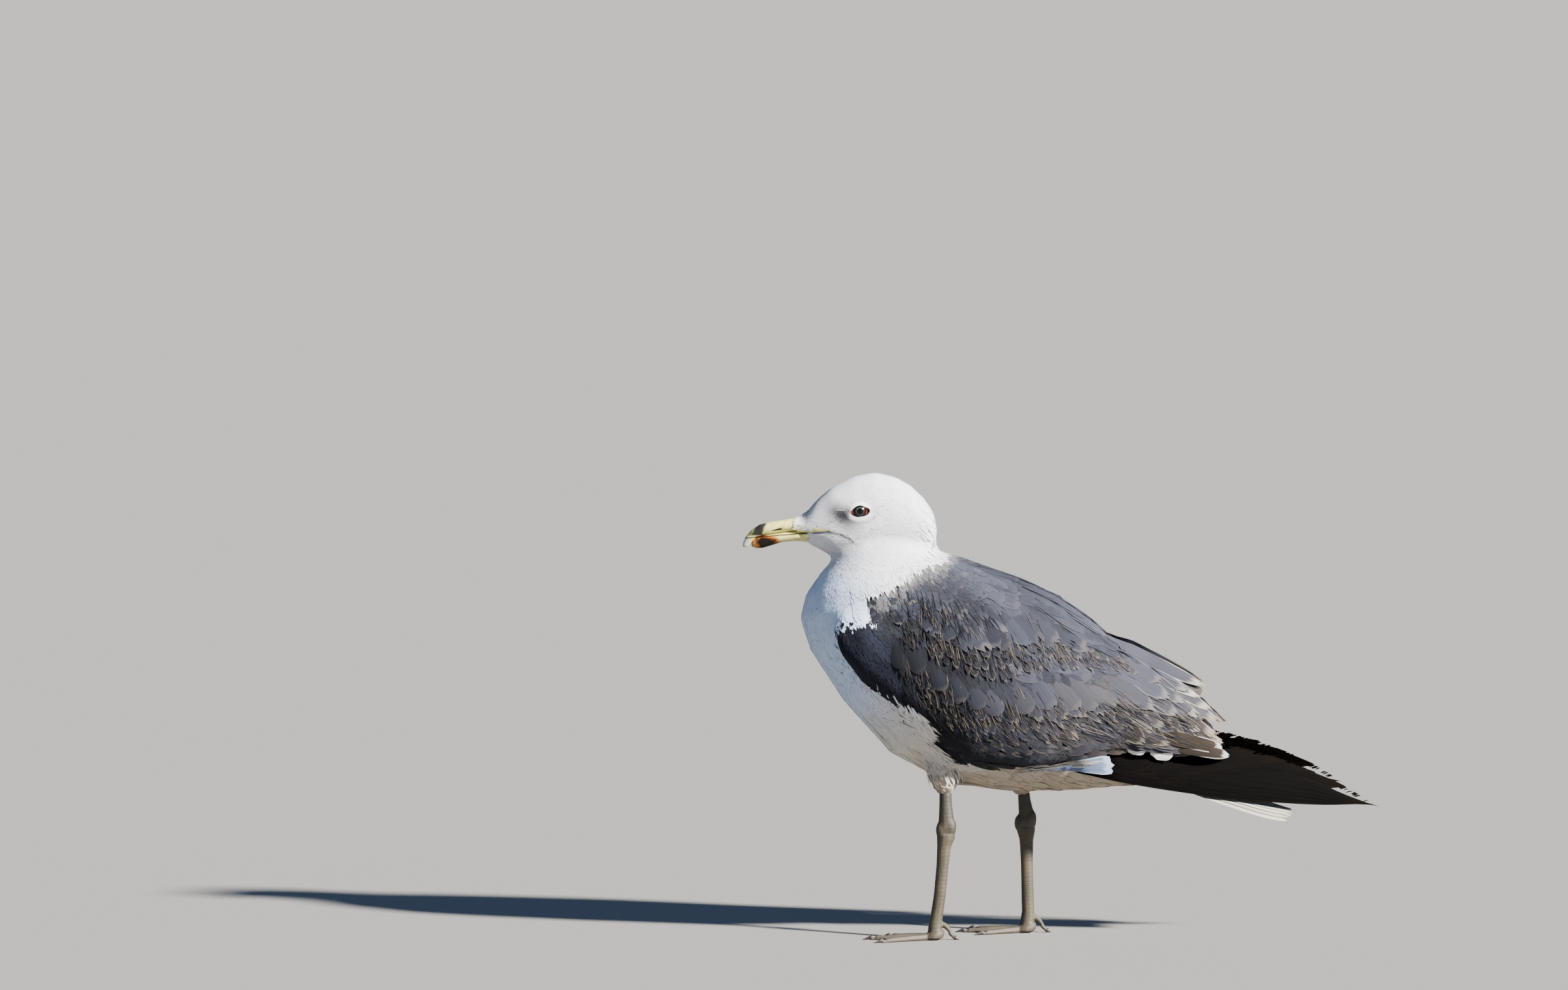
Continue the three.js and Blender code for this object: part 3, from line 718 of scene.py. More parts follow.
def makeHeadCoat():
    roots = evenPoints(headCoat["spacing"], lambda p: (p[:, 2] > headLine(p)) & (p[:, 0] > -214), 21)
    toBill = np.linalg.norm(roots - billRoot, axis=1)
    eyeGap = aroundEye(roots)
    keep = (eyeGap > headCoat["eyeGap"]) & ~bareBill(roots)
    roots, toBill, eyeGap = roots[keep], toBill[keep], eyeGap[keep]
    length = mix(headCoat["face"], headCoat["nape"], smooth(10, 105, toBill))
    length = length * rng.uniform(0.8, 1.2, len(roots))
    # shorter as they near the eye and the bill
    before = (roots[:, 0] < eyeAt[0]) & (np.abs(roots[:, 1]) > 10)
    length = np.where(before & (eyeGap < 14), np.minimum(length, np.maximum(eyeGap - 4.0, 1.4)), length)
    length = np.where(eyeGap < 8, np.minimum(length, 2.4), length)
    length = np.where(toBill < 16, np.minimum(length, 3.2), length)
    loose = smooth(-125, -104, roots[:, 0]) * (roots[:, 2] > 306) * (rng.random(len(roots)) < 0.3)
    root = 0.22 + 0.012 * length
    tip = 0.08 + 0.004 * length + loose * rng.uniform(0, 1.4, len(roots)) + rng.uniform(0, 0.12, len(roots))
    # the first rows lie over the root of the bill
    first = smooth(-199, -203, roots[:, 0]) * smooth(319.5, 321, roots[:, 2])
    root, tip = mix(root, -0.7, first), mix(tip, 1.1, first)
    half = np.maximum(length * headCoat["width"], 0.55) * rng.uniform(0.85, 1.1, len(roots))
    middle = np.quantile(roots[:, 0], 0.5)
    for name, here in (("coatFace", roots[:, 0] < middle), ("coatNape", roots[:, 0] >= middle)):
        coat = Coat(name, "fine", softPlume, "white_plumage", 0.8)
        centres, ups = growCentres(roots[here], bodyWay, length[here], coat.v, root[here], tip[here])
        outer = centres[:, 2] * 0.4 + centres[:, 3] * 0.6
        colour = plumageTone(outer, "white") * rng.uniform(0.955, 1.03, (here.sum(), 1))
        shown = ~((centres[:, -1, 0] > -94.5) & (centres[:, -1, 2] < 309))
        colour = colour[shown]
        coat.add(
            centres[shown], ups[shown], half[here][shown], 0.03, headCoat["thickness"], 0.1,
            colour, colour, np.zeros(shown.sum()))
        if name == "coatNape":
            addNapeEdge(coat)
            addEyeRing(coat)
        coat.make()


# Short dense feathers round the lids, white above and below
eyeRing = {"rows": 7, "number": 96, "step": 0.6, "front": 8.4, "rear": 7.5, "tall": 4.5, "thickness": 0.12}


def addEyeRing(coat):
    for side in (-1, 1):
        for row in range(eyeRing["rows"]):
            n = eyeRing["number"]
            turn = (np.arange(n) + rng.uniform(0, 1, n)) / n * 2 * np.pi
            out = row * eyeRing["step"] + 0.15
            wide = np.where(np.cos(turn) < 0, eyeRing["front"], eyeRing["rear"])
            x = eyeAt[0] + np.cos(turn) * (wide + out) + 0.2
            z = eyeAt[2] + np.sin(turn) * (eyeRing["tall"] + out) + np.cos(turn) * 0.75
            roots = settle(np.stack([x, np.full(n, side * 26.0), z], 1))[0]
            away = np.stack([np.cos(turn) * 0.7 + 0.35, np.zeros(n), np.sin(turn) * 0.9], 1)
            length = rng.uniform(1.5, 2.3, n)
            root, tip = np.full(n, 0.1), np.full(n, 0.22)
            centres, ups = growCentres(roots, lambda points: away, length, coat.v, root, tip)
            colour = plumageTone(centres[:, 2], "white") * rng.uniform(0.96, 1.03, (n, 1))
            half = rng.uniform(0.3, 0.42, n)
            coat.add(centres, ups, half, 0.05, eyeRing["thickness"], 0.05, colour, colour, np.zeros(n))


# The lowest head feathers hang free over the back, and over the fold between cheek and neck.
napeEdge = {
    "number": 340, "reach": 15, "thickness": 0.2,
    "foldNumber": 260, "fold": [(-174, 296.5), (-162, 297.5), (-149, 300), (-135, 303.5)],
}


def addNapeEdge(coat):
    number = napeEdge["number"]
    turn = np.radians(rng.uniform(-36, 36, number))
    outwards = np.stack([np.cos(turn), np.sin(turn), np.zeros(number)], 1)
    start = np.array([-127.0, 0, 0]) + outwards * [28.0, 24.0, 0]
    start = start + np.array([0, 0, 1.0]) * rng.uniform(309, 324, (number, 1))
    points, normals = settle(start)
    down = unit(np.array([0.03, 0, -1.0]) + normals * rng.uniform(-0.08, 0.06, (number, 1)))
    reach = rng.uniform(0.6, 1, number) * napeEdge["reach"]
    centres = points[:, None] + down[:, None] * (reach[:, None] * coat.v[None])[..., None]
    centres = centres + normals[:, None] * (0.3 * coat.v[None, :, None] - 0.3)
    colour = plumageTone(points, "white") * rng.uniform(0.97, 1.03, (number, 1))
    ups = np.repeat(normals[:, None], len(coat.v), 1)
    half, thickness = rng.uniform(0.6, 1.0, number), napeEdge["thickness"]
    coat.add(centres, ups, half, 0.1, thickness, 0.1, colour, colour, np.zeros(number))
    for side in (-1, 1):
        number = napeEdge["foldNumber"]
        s = rng.uniform(0, 1, number)
        tips = alongPath(napeEdge["fold"], s) + rng.normal(0, 0.9, (number, 2))
        angles = np.radians(mix(40, 70, s)) + rng.normal(0, 0.1, number)
        x, z = hungFrom(tips, angles, rng.uniform(6, 9, number), coat.v, np.zeros((number, 1)))
        lift = rng.uniform(0.2, 1.0, (number, 1)) * coat.v[None] * (1 - s[:, None] * 0.5)
        centres, ups = onSide(x, z, side, lift - 0.2)
        colour = plumageTone(centres[:, 0], "white") * rng.uniform(0.97, 1.03, (number, 1))
        half = rng.uniform(0.5, 0.9, number)
        coat.add(centres, ups, half, 0.1, thickness, 0.1, colour, colour, np.zeros(number))


makeHeadCoat()


def makeGape():
    rows = gape["rows"]
    shape = (np.linspace(-1, 1, 7), np.linspace(0, 1, rows), np.linspace(1, 0.12, rows))
    coat = Coat("gapeStrips", shape, billHorn, "bill_horn", 0.2)
    for side in (-1, 1):
        x = mix(gape["front"], gape["rear"], coat.v)
        points, normals = settle(np.stack([x, np.full(len(x), side * 30.0), gapeHeight(x)], 1))
        centres = (points + normals * mix(-0.9, 0.5, smooth(0, 0.6, coat.v))[:, None])[None]
        half = np.interp(x, [-214, -206, -195, -188, -181], [2.4, 2.2, 0.95, 0.5, 0.2])[None]
        yellow = tone["white"][None]
        coat.add(centres, normals[None], half, 0.12, gape["thickness"], 0.0, yellow, yellow, np.zeros(1))
    coat.make()


# Lower neck, breast, belly and flanks: feather lengths by place, and width as a share of length
bodyCoat = {
    "neck": 13, "breast": 17, "belly": 23, "vent": 34,
    "width": 0.165, "thickness": 0.1, "spacing": 2.3,
}
legTops = ((-90.5, -26), (-29.5, 26))


def legGap(points):
    return np.minimum(*(np.hypot(points[:, 0] - x, points[:, 1] - y) for x, y in legTops))


def makeBodyCoat():
    roots = evenPoints(bodyCoat["spacing"], lambda p: p[:, 2] <= headLine(p) + 2, 22)
    onWing = nearWing(roots, 0.9)
    bare = (legGap(roots) < 5.5) & (roots[:, 2] < 122)
    ends = roots + bodyWay(roots) * (bodyCoat["neck"] * 1.05)
    far = roots + bodyWay(roots) * 16
    over = nearWing(far, 3.0) & (roots[:, 0] > -112) & (roots[:, 2] < 172)
    roots = roots[(mantleShare(ends) < 0.5) & (mantleShare(roots) < 0.5) & ~onWing & ~bare & ~over]
    x, y, z = roots.T
    length = mix(bodyCoat["neck"], bodyCoat["breast"], smooth(300, 255, z))
    length = mix(length, bodyCoat["belly"], smooth(200, 150, z))
    length = mix(length, bodyCoat["vent"], smooth(0, 70, x)) * rng.uniform(0.8, 1.2, len(roots))
    length = np.where(legGap(roots) < 10, np.minimum(length, 13), length)
    loose = smooth(175, 120, z) * (rng.random(len(roots)) < 0.2)
    root = 0.25 + 0.008 * length
    tip = 0.06 + 0.003 * length + loose * rng.uniform(0, 1.0, len(roots))
    tip = tip + rng.uniform(0, 0.1, len(roots))
    colour = plumageTone(roots, "white") * rng.uniform(0.96, 1.03, (len(roots), 1))
    half = length * bodyCoat["width"] * rng.uniform(0.85, 1.15, len(roots))
    middle = np.quantile(z, 0.5)
    for name, here in (("coatBreast", z >= middle), ("coatBelly", z < middle)):
        coat = Coat(name, "fine", softPlume, "white_plumage", 0.8)
        centres, ups = growCentres(roots[here], bodyWay, length[here], coat.v, root[here], tip[here])
        shade = colour[here]
        coat.add(
            centres, ups, half[here], 0.03, bodyCoat["thickness"], 0.12, shade, shade, np.zeros(here.sum()))
        if name == "coatBelly":
            addFlankTufts(coat)
            addLegTufts(coat)
        coat.make()


# Short tufts that close the belly round each leg
legTufts = {"number": 170, "rootZ": (138, 131), "tipZ": (126, 119), "thickness": 0.22}


def addLegTufts(coat):
    for legX, legY in legTops:
        n = legTufts["number"]
        turn = rng.uniform(0, 2 * np.pi, n)
        share = rng.uniform(0, 1, (n, 1))
        out = np.stack([np.cos(turn) * 1.15, np.sin(turn), np.zeros(n)], 1)
        foot, up = np.array([legX, legY, 0.0]), np.array([0, 0, 1.0])
        high = foot + out * rng.uniform(8, 11, (n, 1)) + np.array([-2.0, 0, 0])
        high = high + up * mix(*legTufts["rootZ"], share)
        low = foot + out * rng.uniform(5.2, 9.5, (n, 1))
        low = low + np.array([5.0, 0, 0]) * rng.uniform(-0.4, 1, (n, 1))
        low = low + up * mix(*legTufts["tipZ"], share * rng.uniform(0.5, 1, (n, 1)))
        centres = mix(high[:, None], low[:, None], coat.v[None, :, None])
        centres = centres + out[:, None] * (np.sin(coat.v * np.pi) * 1.6)[None, :, None]
        ups = np.repeat(unit(out + np.array([0, 0, -0.2]))[:, None], len(coat.v), 1)
        # cream and darkened: painted shade on the white tufts under the belly
        colour = mix(tone["white"], tone["cream"], rng.uniform(0.5, 1, (n, 1)))
        colour = colour * rng.uniform(0.7, 0.95, (n, 1))
        half = rng.uniform(0.7, 1.4, n)
        coat.add(centres, ups, half, 0.1, legTufts["thickness"], 0.15, colour, colour, np.zeros(n))


# Loose white tips of the flank lie over the wing's lower front edge.
flankTufts = {
    "number": 640, "thickness": 0.25,
    "path": [
        (-172, 222), (-162, 206), (-146, 194), (-128, 183), (-112, 174), (-99, 163), (-101, 152), (-84, 137)
    ],
}


def addFlankTufts(coat):
    for side in (-1, 1):
        n = flankTufts["number"]
        s = rng.uniform(0, 1, n)
        tips = alongPath(flankTufts["path"], s) + rng.normal(0, 2.0, (n, 2))
        angles = np.radians(mix(58, 36, s)) + rng.normal(0, 0.12, n)
        reach = mix(12, 24, smooth(0, 0.8, s)) * rng.uniform(0.7, 1.1, n)
        x, z = hungFrom(tips, angles, reach, coat.v, rng.uniform(-0.5, 0.2, (n, 1)))
        level = rng.uniform(1.4, 3.6, (n, 1)) * coat.v[None] - 0.2
        centres, ups = onSide(x, z, side, level)
        colour = plumageTone(centres[:, 0], "white") * rng.uniform(0.97, 1.03, (n, 1))
        half = rng.uniform(0.8, 1.7, n)
        coat.add(centres, ups, half, 0.1, flankTufts["thickness"], 0.14, colour, colour, np.zeros(n))


makeBodyCoat()

# Back and scapulars. The scapulars' lower edge is a line in the side view, with the fall of its feathers.
capEdge = [
    (-149, 252), (-123, 249), (-101, 243), (-83, 235), (-68, 229), (-47, 231), (-21, 232), (-3, 238),
    (19, 231), (41, 226), (66, 222), (99, 206)
]
capAngle = [80, 76, 70, 64, 58, 52, 45, 38, 31, 29, 28, 30]
capEdgeX, capEdgeZ = np.array(capEdge, float).T


def backWay(points):
    way = bodyLie(points)
    x, y, z = points.T
    steep = smooth(-60, -140, x) * smooth(280, 255, z)
    down = np.stack([np.full(len(x), 0.25), np.sign(y) * 0.3, np.full(len(x), -1.0)], 1)
    return unit(mix(way, unit(down), (steep * 0.85)[:, None]))


def backTone(points, spreadBy):
    x, y, z = points.T
    base = tone["grey"] * (0.74 + 0.24 * patches(points, 45, 8)[:, None])
    brown = smooth(0, 110, x) * smooth(0.4, 0.9, patches(points, 40, 9)) * 0.5
    base = mix(base, tone["brown"], brown[:, None])
    # soft streaks along the lie, painted shade and light of folds between crumpled feathers, and paler
    # plumage at the foot of the neck
    streaks = patches(np.stack([(x * 0.82 - z * 0.57) * 0.25, y * 0.5, x * 0.57 + z * 0.82], 1), 17, 12)
    base = base * mix(0.62, 1.3, streaks)[:, None]
    pale = smooth(11, 2, backTop(x) - z) * smooth(-138, -122, x) * 0.09
    base = mix(base, tone["pale"] * 0.5, pale[:, None])
    return base * rng.uniform(1 - spreadBy, 1 + spreadBy, (len(x), 1))


# Soft close feathers where the back meets the neck
backFront = {"spacing": 2.7, "length": 13, "thickness": 0.15, "front": -160, "rear": -74, "low": 240}


def makeBackFront():
    coat = Coat("coatBackFront", "fine", softPlume, "grey_plumage", 0.9)
    front, rear, low = (backFront[key] for key in ("front", "rear", "low"))
    roots = evenPoints(
        backFront["spacing"], lambda p: (p[:, 0] > front) & (p[:, 0] < rear) & (p[:, 2] > low), 31)
    upper = roots[:, 2] > np.interp(roots[:, 0], capEdgeX, capEdgeZ) - 2
    roots = roots[(mantleShare(roots) > 0.5) & upper]
    n = len(roots)
    length = backFront["length"] * rng.uniform(0.8, 1.2, n)
    root, tip = 0.3 + 0.01 * length, 0.12 + rng.uniform(0, 0.25, n)
    centres, ups = growCentres(roots, backWay, length, coat.v, root, tip)
    shade = np.interp(roots[:, 0], [-152, -120, -90], [0.5, 0.6, 0.9])
    shade = mix(shade, 1.0, smooth(262, 285, roots[:, 2]))
    colour = backTone(roots, 0.1) * shade[:, None]
    # the first feathers behind the white neck are pale
    x, y, z = roots.T
    inside = np.minimum(x - mantleFront(z), backTop(x) - z)
    pale = smooth(11, 0, inside + rng.normal(0, 0.8, n)) * rng.uniform(0.3, 0.45, n) * smooth(252, 268, z)
    colour = mix(colour, tone["pale"] * 0.5, pale[:, None])
    half = rng.uniform(1.6, 2.2, n)
    coat.add(centres, ups, half, 0.05, backFront["thickness"], 0.12, colour, colour, np.zeros(n))
    coat.make()


makeBackFront()

# White feathers of the neck lie loosely over them.
neckEdge = {"spacing": 1.9, "thickness": 0.12, "front": -164, "rear": -84, "low": 236, "lowestTip": 246}


def makeNeckEdge():
    coat = Coat("coatNeckEdge", "fine", softPlume, "white_plumage", 0.8)
    front, rear, low = (neckEdge[key] for key in ("front", "rear", "low"))
    roots = evenPoints(
        neckEdge["spacing"], lambda p: (p[:, 0] > front) & (p[:, 0] < rear) & (p[:, 2] > low), 33)
    x, y, z = roots.T
    inside = np.minimum(x - mantleFront(z), backTop(x) - z) + rng.normal(0, 1.0, len(roots))
    here = (inside > -12) & (inside < mix(-6.5, 1.5, smooth(276, 290, z)))
    roots, inside = roots[here], inside[here]
    n = len(roots)
    length = rng.uniform(8.5, 12.5, n)
    root, tip = 0.1 + 0.01 * length, 0.25 + rng.uniform(0, 0.45, n)
    centres, ups = growCentres(roots, bodyWay, length, coat.v, root, tip)
    colour = plumageTone(roots, "white") * rng.uniform(0.94, 1.02, (n, 1))
    colour = mix(colour, tone["grey"] * 3, (smooth(-4, 2, inside) * rng.uniform(0.1, 0.6, n))[:, None])
    half = rng.uniform(0.9, 1.3, n)
    clear = centres[:, -1, 2] > neckEdge["lowestTip"]
    colour = colour[clear]
    coat.add(
        centres[clear], ups[clear], half[clear], 0.05, neckEdge["thickness"], 0.12,
        colour, colour, np.zeros(clear.sum()))
    coat.make()


makeNeckEdge()

mantleCoat = {"front": 15, "rear": 72, "thickness": 0.22, "spacing": 8.4}


def makeMantle():
    coat = Coat("coatMantle", "cover", backPlume, "grey_plumage", 0.9)
    roots = evenPoints(
        mantleCoat["spacing"], lambda p: (p[:, 0] > -104) & (p[:, 0] < 26) & (p[:, 2] > 140), 32)
    upper = roots[:, 2] > np.interp(roots[:, 0], capEdgeX, capEdgeZ) + 4
    roots = roots[(mantleShare(roots) > 0.5) & upper]
    roots = roots[np.argsort(roots[:, 0])]
    n, x = len(roots), roots[:, 0]
    length = mix(mantleCoat["front"], mantleCoat["rear"], smooth(-128, -25, x)) * rng.uniform(0.8, 1.1, n)
    length = np.minimum(length, np.interp(x, [-20, 26], [72, 40]))
    root = 0.7 + 0.012 * length
    tip = 0.12 + 0.003 * length + rng.uniform(0, 0.15, n)
    centres, ups = growCentres(roots, backWay, length, coat.v, root, tip)
    colour = backTone(roots, 0.06)
    edge = mix(tone["grey"] * 1.8, tone["buff"], rng.uniform(0, 0.6, (n, 1)))
    half = np.interp(length, [12, 30, 60, 80], [3.0, 6.0, 10.0, 11.5]) * rng.uniform(0.85, 1.1, n)
    rim = rng.uniform(0.0, 0.16, n)
    coat.add(centres, ups, half, 0.05, mantleCoat["thickness"], 0.08, colour, edge, rim)
    coat.make()


makeMantle()

# Loose strands about the tips of a row, some dark and some worn pale
slivers = Coat("coatWornBarbs", "sliver", coverPlume, "grey_plumage", 0.5)


def addSlivers(tips, angles, side, reach, level, number, shade, dark=0.45):
    for _ in range(int(round(number))):
        n = len(tips)
        back = rng.uniform(-0.15, 0.8, n) * reach
        spot = tips - np.stack([np.cos(angles), -np.sin(angles)], 1) * back[:, None]
        spot = spot + rng.normal(0, 1, (n, 2)) * [2.8, 2.2]
        lean = angles + rng.normal(0, 0.13, n)
        length = rng.uniform(0.6, 1.3, n) * reach
        x, z = hungFrom(spot, lean, length, slivers.v, rng.uniform(-0.25, 0.45, (n, 1)))
        lift = level + rng.uniform(0.1, 0.9, (n, 1)) * slivers.v[None]
        centres, ups = onSide(x, z, side, lift)
        pick = rng.random(n)[:, None]
        # pale strands fade to dark towards the wing's front, and the dark ones take the covert shade tone:
        # painted shade
        worn = shade * rng.uniform(0.2, 0.8, (n, 1)) * smooth(-140, -95, tips[:, :1])
        plain = tone["covertShade"] * rng.uniform(0.4, 0.85, (n, 1))
        middle = tone["grey"] * rng.uniform(0.6, 1.1, (n, 1))
        colour = np.where(pick < dark, plain, np.where(pick < dark + 0.2, middle, worn))
        keep = backed(x, z, side)
        width = rng.uniform(0.12, 0.32, n)[keep]
        colour = colour[keep]
        slivers.add(centres[keep], ups[keep], width, 0.1, 0.2, 0.1, colour, colour, np.zeros(keep.sum()))


# The edge of the scapulars hangs free over the wing like the rim of a cape.
capSet = {"rows": 3, "number": 21, "thickness": 0.5, "camber": 0.14, "overhang": 2.8, "strands": (16, 7, 0)}


def makeCape():
    coat = Coat("coatScapulars", "broad", backPlume, "grey_plumage", 0.7)
    for side in (-1, 1):
        for row in range(capSet["rows"]):
            n = capSet["number"]
            s = np.clip((np.arange(n) + 0.5) / n + rng.uniform(-0.35, 0.35, n) / n, 0, 1)
            tips = alongPath(capEdge, s)
            angles = np.radians(np.interp(tips[:, 0], capEdgeX, capAngle)) + rng.normal(0, 0.05, n)
            back = row * np.interp(tips[:, 0], [-140, -60], [7, 17])
            tips = tips - np.stack([np.cos(angles), -np.sin(angles)], 1) * back[:, None]
            tips = tips + rng.normal(0, 1.5, (n, 2))
            length = np.interp(tips[:, 0], [-150, -110, -70, -30, 30, 90], [18, 24, 42, 66, 84, 60])
            length = length * rng.uniform(0.85, 1.1, n)
            x, z = hungFrom(tips, angles, length, coat.v, rng.uniform(-0.1, 0.3, (n, 1)))
            hang = np.interp(tips[:, 0], [-140, -95, 20, 60], [0.5, 1.0, 0.9, 0.4])[:, None]
            hang = hang * (1 if row == 0 else 0.35)
            raised = capSet["overhang"] * hang + 0.2 + rng.uniform(0, 0.5, (n, 1))
            raised = raised * coat.v[None] ** 1.6 - 0.8 * (1 - coat.v[None])
            centres, ups = onSide(x, z, side, raised)
            shade = np.interp(tips[:, 0], [-150, -110, -60, -30], [0.62, 0.55, 0.75, 1.0])
            colour = backTone(centres[:, 4], 0.08) * shade[:, None]
            edge = mix(tone["grey"] * 1.6, tone["buff"], rng.uniform(0, 0.6, (n, 1)))
            half = np.interp(length, [18, 40, 84], [5.0, 8.0, 11.5]) * rng.uniform(0.85, 1.1, n)
            keep = backed(x, z, side)
            rim = rng.uniform(0.05, 0.4, keep.sum())
            coat.add(
                centres[keep], ups[keep], half[keep], capSet["camber"], capSet["thickness"], 0.12,
                colour[keep], edge[keep], rim, 0.6)
            ragged = (tips[:, 0] < -42) & (tips[:, 0] > -108)
            strands = capSet["strands"][row]
            addSlivers(tips[ragged], angles[ragged] + 0.12, side, 17, 1.0, strands, tone["buff"] * 0.8, 0.6)
            front = tips[:, 0] <= -108
            addSlivers(tips[front], angles[front], side, 12, 0.5, 2, tone["buff"] * 0.4, 0.7)
    # dark strands laid under the rear of the rim: painted shade
    for side in (-1, 1):
        n = 46
        tips = alongPath([(4, 236), (20, 229.5), (38, 224.5)], rng.uniform(0, 1, n))
        tips = tips + rng.normal(0, 0.8, (n, 2))
        addSlivers(tips, np.full(n, 0.42), side, 16, 0.9, 1, tone["covertShade"], 1.1)
    coat.make()


makeCape()

# The folded wing has a close dark coat, then rows from the scapulars' edge to the wing's lower edge.
wingTop = [(-171, 254), (-158, 258), (-141, 254), (-97, 247), (-60, 236), (0, 236), (50, 226), (104, 207)]
wingFoot = [
    (-175, 236), (-174.5, 226), (-163, 205), (-142, 191.5), (-116, 176), (-100, 156), (-79, 138.5),
    (-50, 133), (-12, 137), (32, 146), (66, 151), (112, 146)
]
# at is the share of the way down the wing, light the brightness (partly painted light and shade), rim the
# pale edge, worn the loose strands
covertKeys = ("at", "number", "length", "half", "light", "rim", "worn", "fray", "camber")
covertRows = [dict(zip(covertKeys, row)) for row in (
    (1.0, 24, 66, 6.4, 0.6, 0.15, 0, 0.06, 0.06),
    (0.93, 24, 62, 6.2, 0.62, 0.2, 1, 0.08, 0.06),
    (0.86, 26, 50, 5.4, 0.6, 0.35, 2, 0.15, 0.08),
    (0.78, 34, 32, 4.0, 0.6, 0.5, 4, 0.25, 0.1),
    (0.69, 36, 28, 3.8, 0.6, 0.5, 5, 0.25, 0.1),
    (0.61, 34, 26, 4.0, 0.65, 0.4, 3, 0.2, 0.1),
    (0.53, 17, 46, 10.0, 0.95, 0.12, 0, 0.04, 0.22),
    (0.28, 36, 20, 3.4, 0.6, 0.4, 4.5, 0.22, 0.1),
    (0.2, 36, 20, 3.4, 0.6, 0.35, 4, 0.2, 0.1),
    (0.12, 34, 20, 3.6, 0.6, 0.2, 2, 0.14, 0.1),
)]


# painted shade darkening the wing towards its bend, and painted light brightening its rear
def wingLightAndShade(x):
    return np.interp(x, [-170, -128, -95, -62, -30, 10, 70], [0.2, 0.25, 0.36, 0.58, 0.95, 1.2, 1.3])


wingBase = {
    "thickness": 0.15, "low": 128, "high": 262,
    # short and dense at the bend, longer behind it
    "bend": {"spacing": 2.7, "front": -184, "rear": -112, "length": 13, "seed": 41},
    "behind": {"spacing": 4.3, "front": -122, "rear": 118, "length": 30, "seed": 42},
}


def makeWingBase():
    coat = Coat("coatWing", "fine", softPlume, "grey_plumage", 0.9)
    low, high = wingBase["low"], wingBase["high"]
    for part in (wingBase["bend"], wingBase["behind"]):

        def within(p):
            return (p[:, 0] > part["front"]) & (p[:, 0] < part["rear"]) & (p[:, 2] > low) & (p[:, 2] < high)

        roots = evenPoints(part["spacing"], within, part["seed"])
        roots = roots[nearWing(roots, 1.1)]
        n = len(roots)
        length = part["length"] * rng.uniform(0.8, 1.15, n)
        root, tip = 0.3 + 0.01 * length, 0.1 + rng.uniform(0, 0.15, n)
        centres, ups = growCentres(roots, wingWay, length, coat.v, root, tip)
        x, y, z = roots.T
        brown = smooth(-60, 60, x) * rng.uniform(0.2, 0.9, n)
        light = wingLightAndShade(x) * 0.7 * rng.uniform(0.85, 1.15, n)
        colour = mix(tone["grey"], tone["brown"], brown[:, None]) * light[:, None]
        # painted blue-black shade at the bend, streaked with painted light and shade
        front = smooth(-100, -135, x)[:, None]
        streaks = patches(np.stack([(x * 0.6 - z * 0.8) * 0.3, y * 0.3, x * 0.8 + z * 0.6], 1), 9, 61)
        colour = mix(colour, tone["bendShade"], front * 0.6)
        colour = colour * mix(1, mix(0.55, 1.7, streaks)[:, None], front)
        half = np.interp(length, [12, 30], [1.7, 3.0]) * rng.uniform(0.9, 1.1, n)
        coat.add(centres, ups, half, 0.05, wingBase["thickness"], 0.12, colour, colour, np.zeros(n))
    coat.make()


makeWingBase()


def makeCoverts():
    coat = Coat("coatCoverts", "cover", coverPlume, "grey_plumage", 0.75)
    lobes = Coat("coatLobes", "broad", backPlume, "grey_plumage", 0.5)
    for side in (-1, 1):
        for order, row in enumerate(covertRows):
            n = row["number"]
            broad = row["half"] > 5
            jitter = rng.uniform(-0.35, 0.35, n) / n * (0.6 if broad else 1)
            s = np.clip((np.arange(n) + 0.5) / n + jitter, 0, 1)
            top, foot = alongPath(wingTop, s), alongPath(wingFoot, s)
            tips = mix(top, foot, row["at"]) + rng.normal(0, 1.2, (n, 2))
            tips = tips[tips[:, 0] > -130 + rng.uniform(0, 22, n)]
            n = len(tips)
            if row["at"] < 0.4:
                tips[:, 1] += smooth(-45, -10, tips[:, 0]) * 8
            angles = wingAngle(tips[:, 0], tips[:, 1])
            if row["at"] > 0.85:
                fall = np.interp(tips[:, 0], [-120, -90, -60, -30, 20, 100], [60, 46, 29, 19, 20, 22])
                angles = np.radians(fall)
            angles = angles + rng.normal(0, 0.05, n)
            size = np.interp(tips[:, 0], [-128, -90, -50, -20, 30], [0.74, 0.8, 0.85, 1.02, 1.15])
            length = row["length"] * size * rng.uniform(0.85, 1.1, n)
            half = row["half"] * size * rng.uniform(0.9, 1.1, n)
            use = lobes if broad else coat
            x, z = hungFrom(tips, angles, length, use.v, rng.uniform(-0.35, 0.05, (n, 1)))
            lift = 0.6 + 0.15 * order + row["camber"] * 4 + rng.uniform(0, 0.6, (n, 1))
            centres, ups = onSide(x, z, side, lift * use.v[None] - 0.9 * (1 - use.v[None]))
            brown = smooth(-90, 60, tips[:, 0]) * rng.uniform(0.1, 0.9, n) * mix(0.3, 0.9, row["at"])
            light = row["light"] * wingLightAndShade(tips[:, 0]) * rng.uniform(0.88, 1.12, n)
            colour = mix(tone["grey"], tone["brown"], brown[:, None]) * light[:, None]
            edge = mix(tone["grey"] * 1.6, tone["buff"], rng.uniform(0.1, 0.9, (n, 1)))
            amount = row["rim"] * smooth(-130, -90, tips[:, 0]) * rng.uniform(0.3, 1.3, n)
            keep = backed(x, z, side)
            soften = 0.45 if row["camber"] > 0.2 else 0.8
            use.add(
                centres[keep], ups[keep], half[keep], row["camber"], 0.4, row["fray"],
                colour[keep], edge[keep], amount[keep], soften)
            if row["worn"]:
                addSlivers(tips, angles, side, 14, 0.5 + 0.12 * order, row["worn"] * 2, tone["buff"])
    coat.make()
    lobes.make()


makeCoverts()


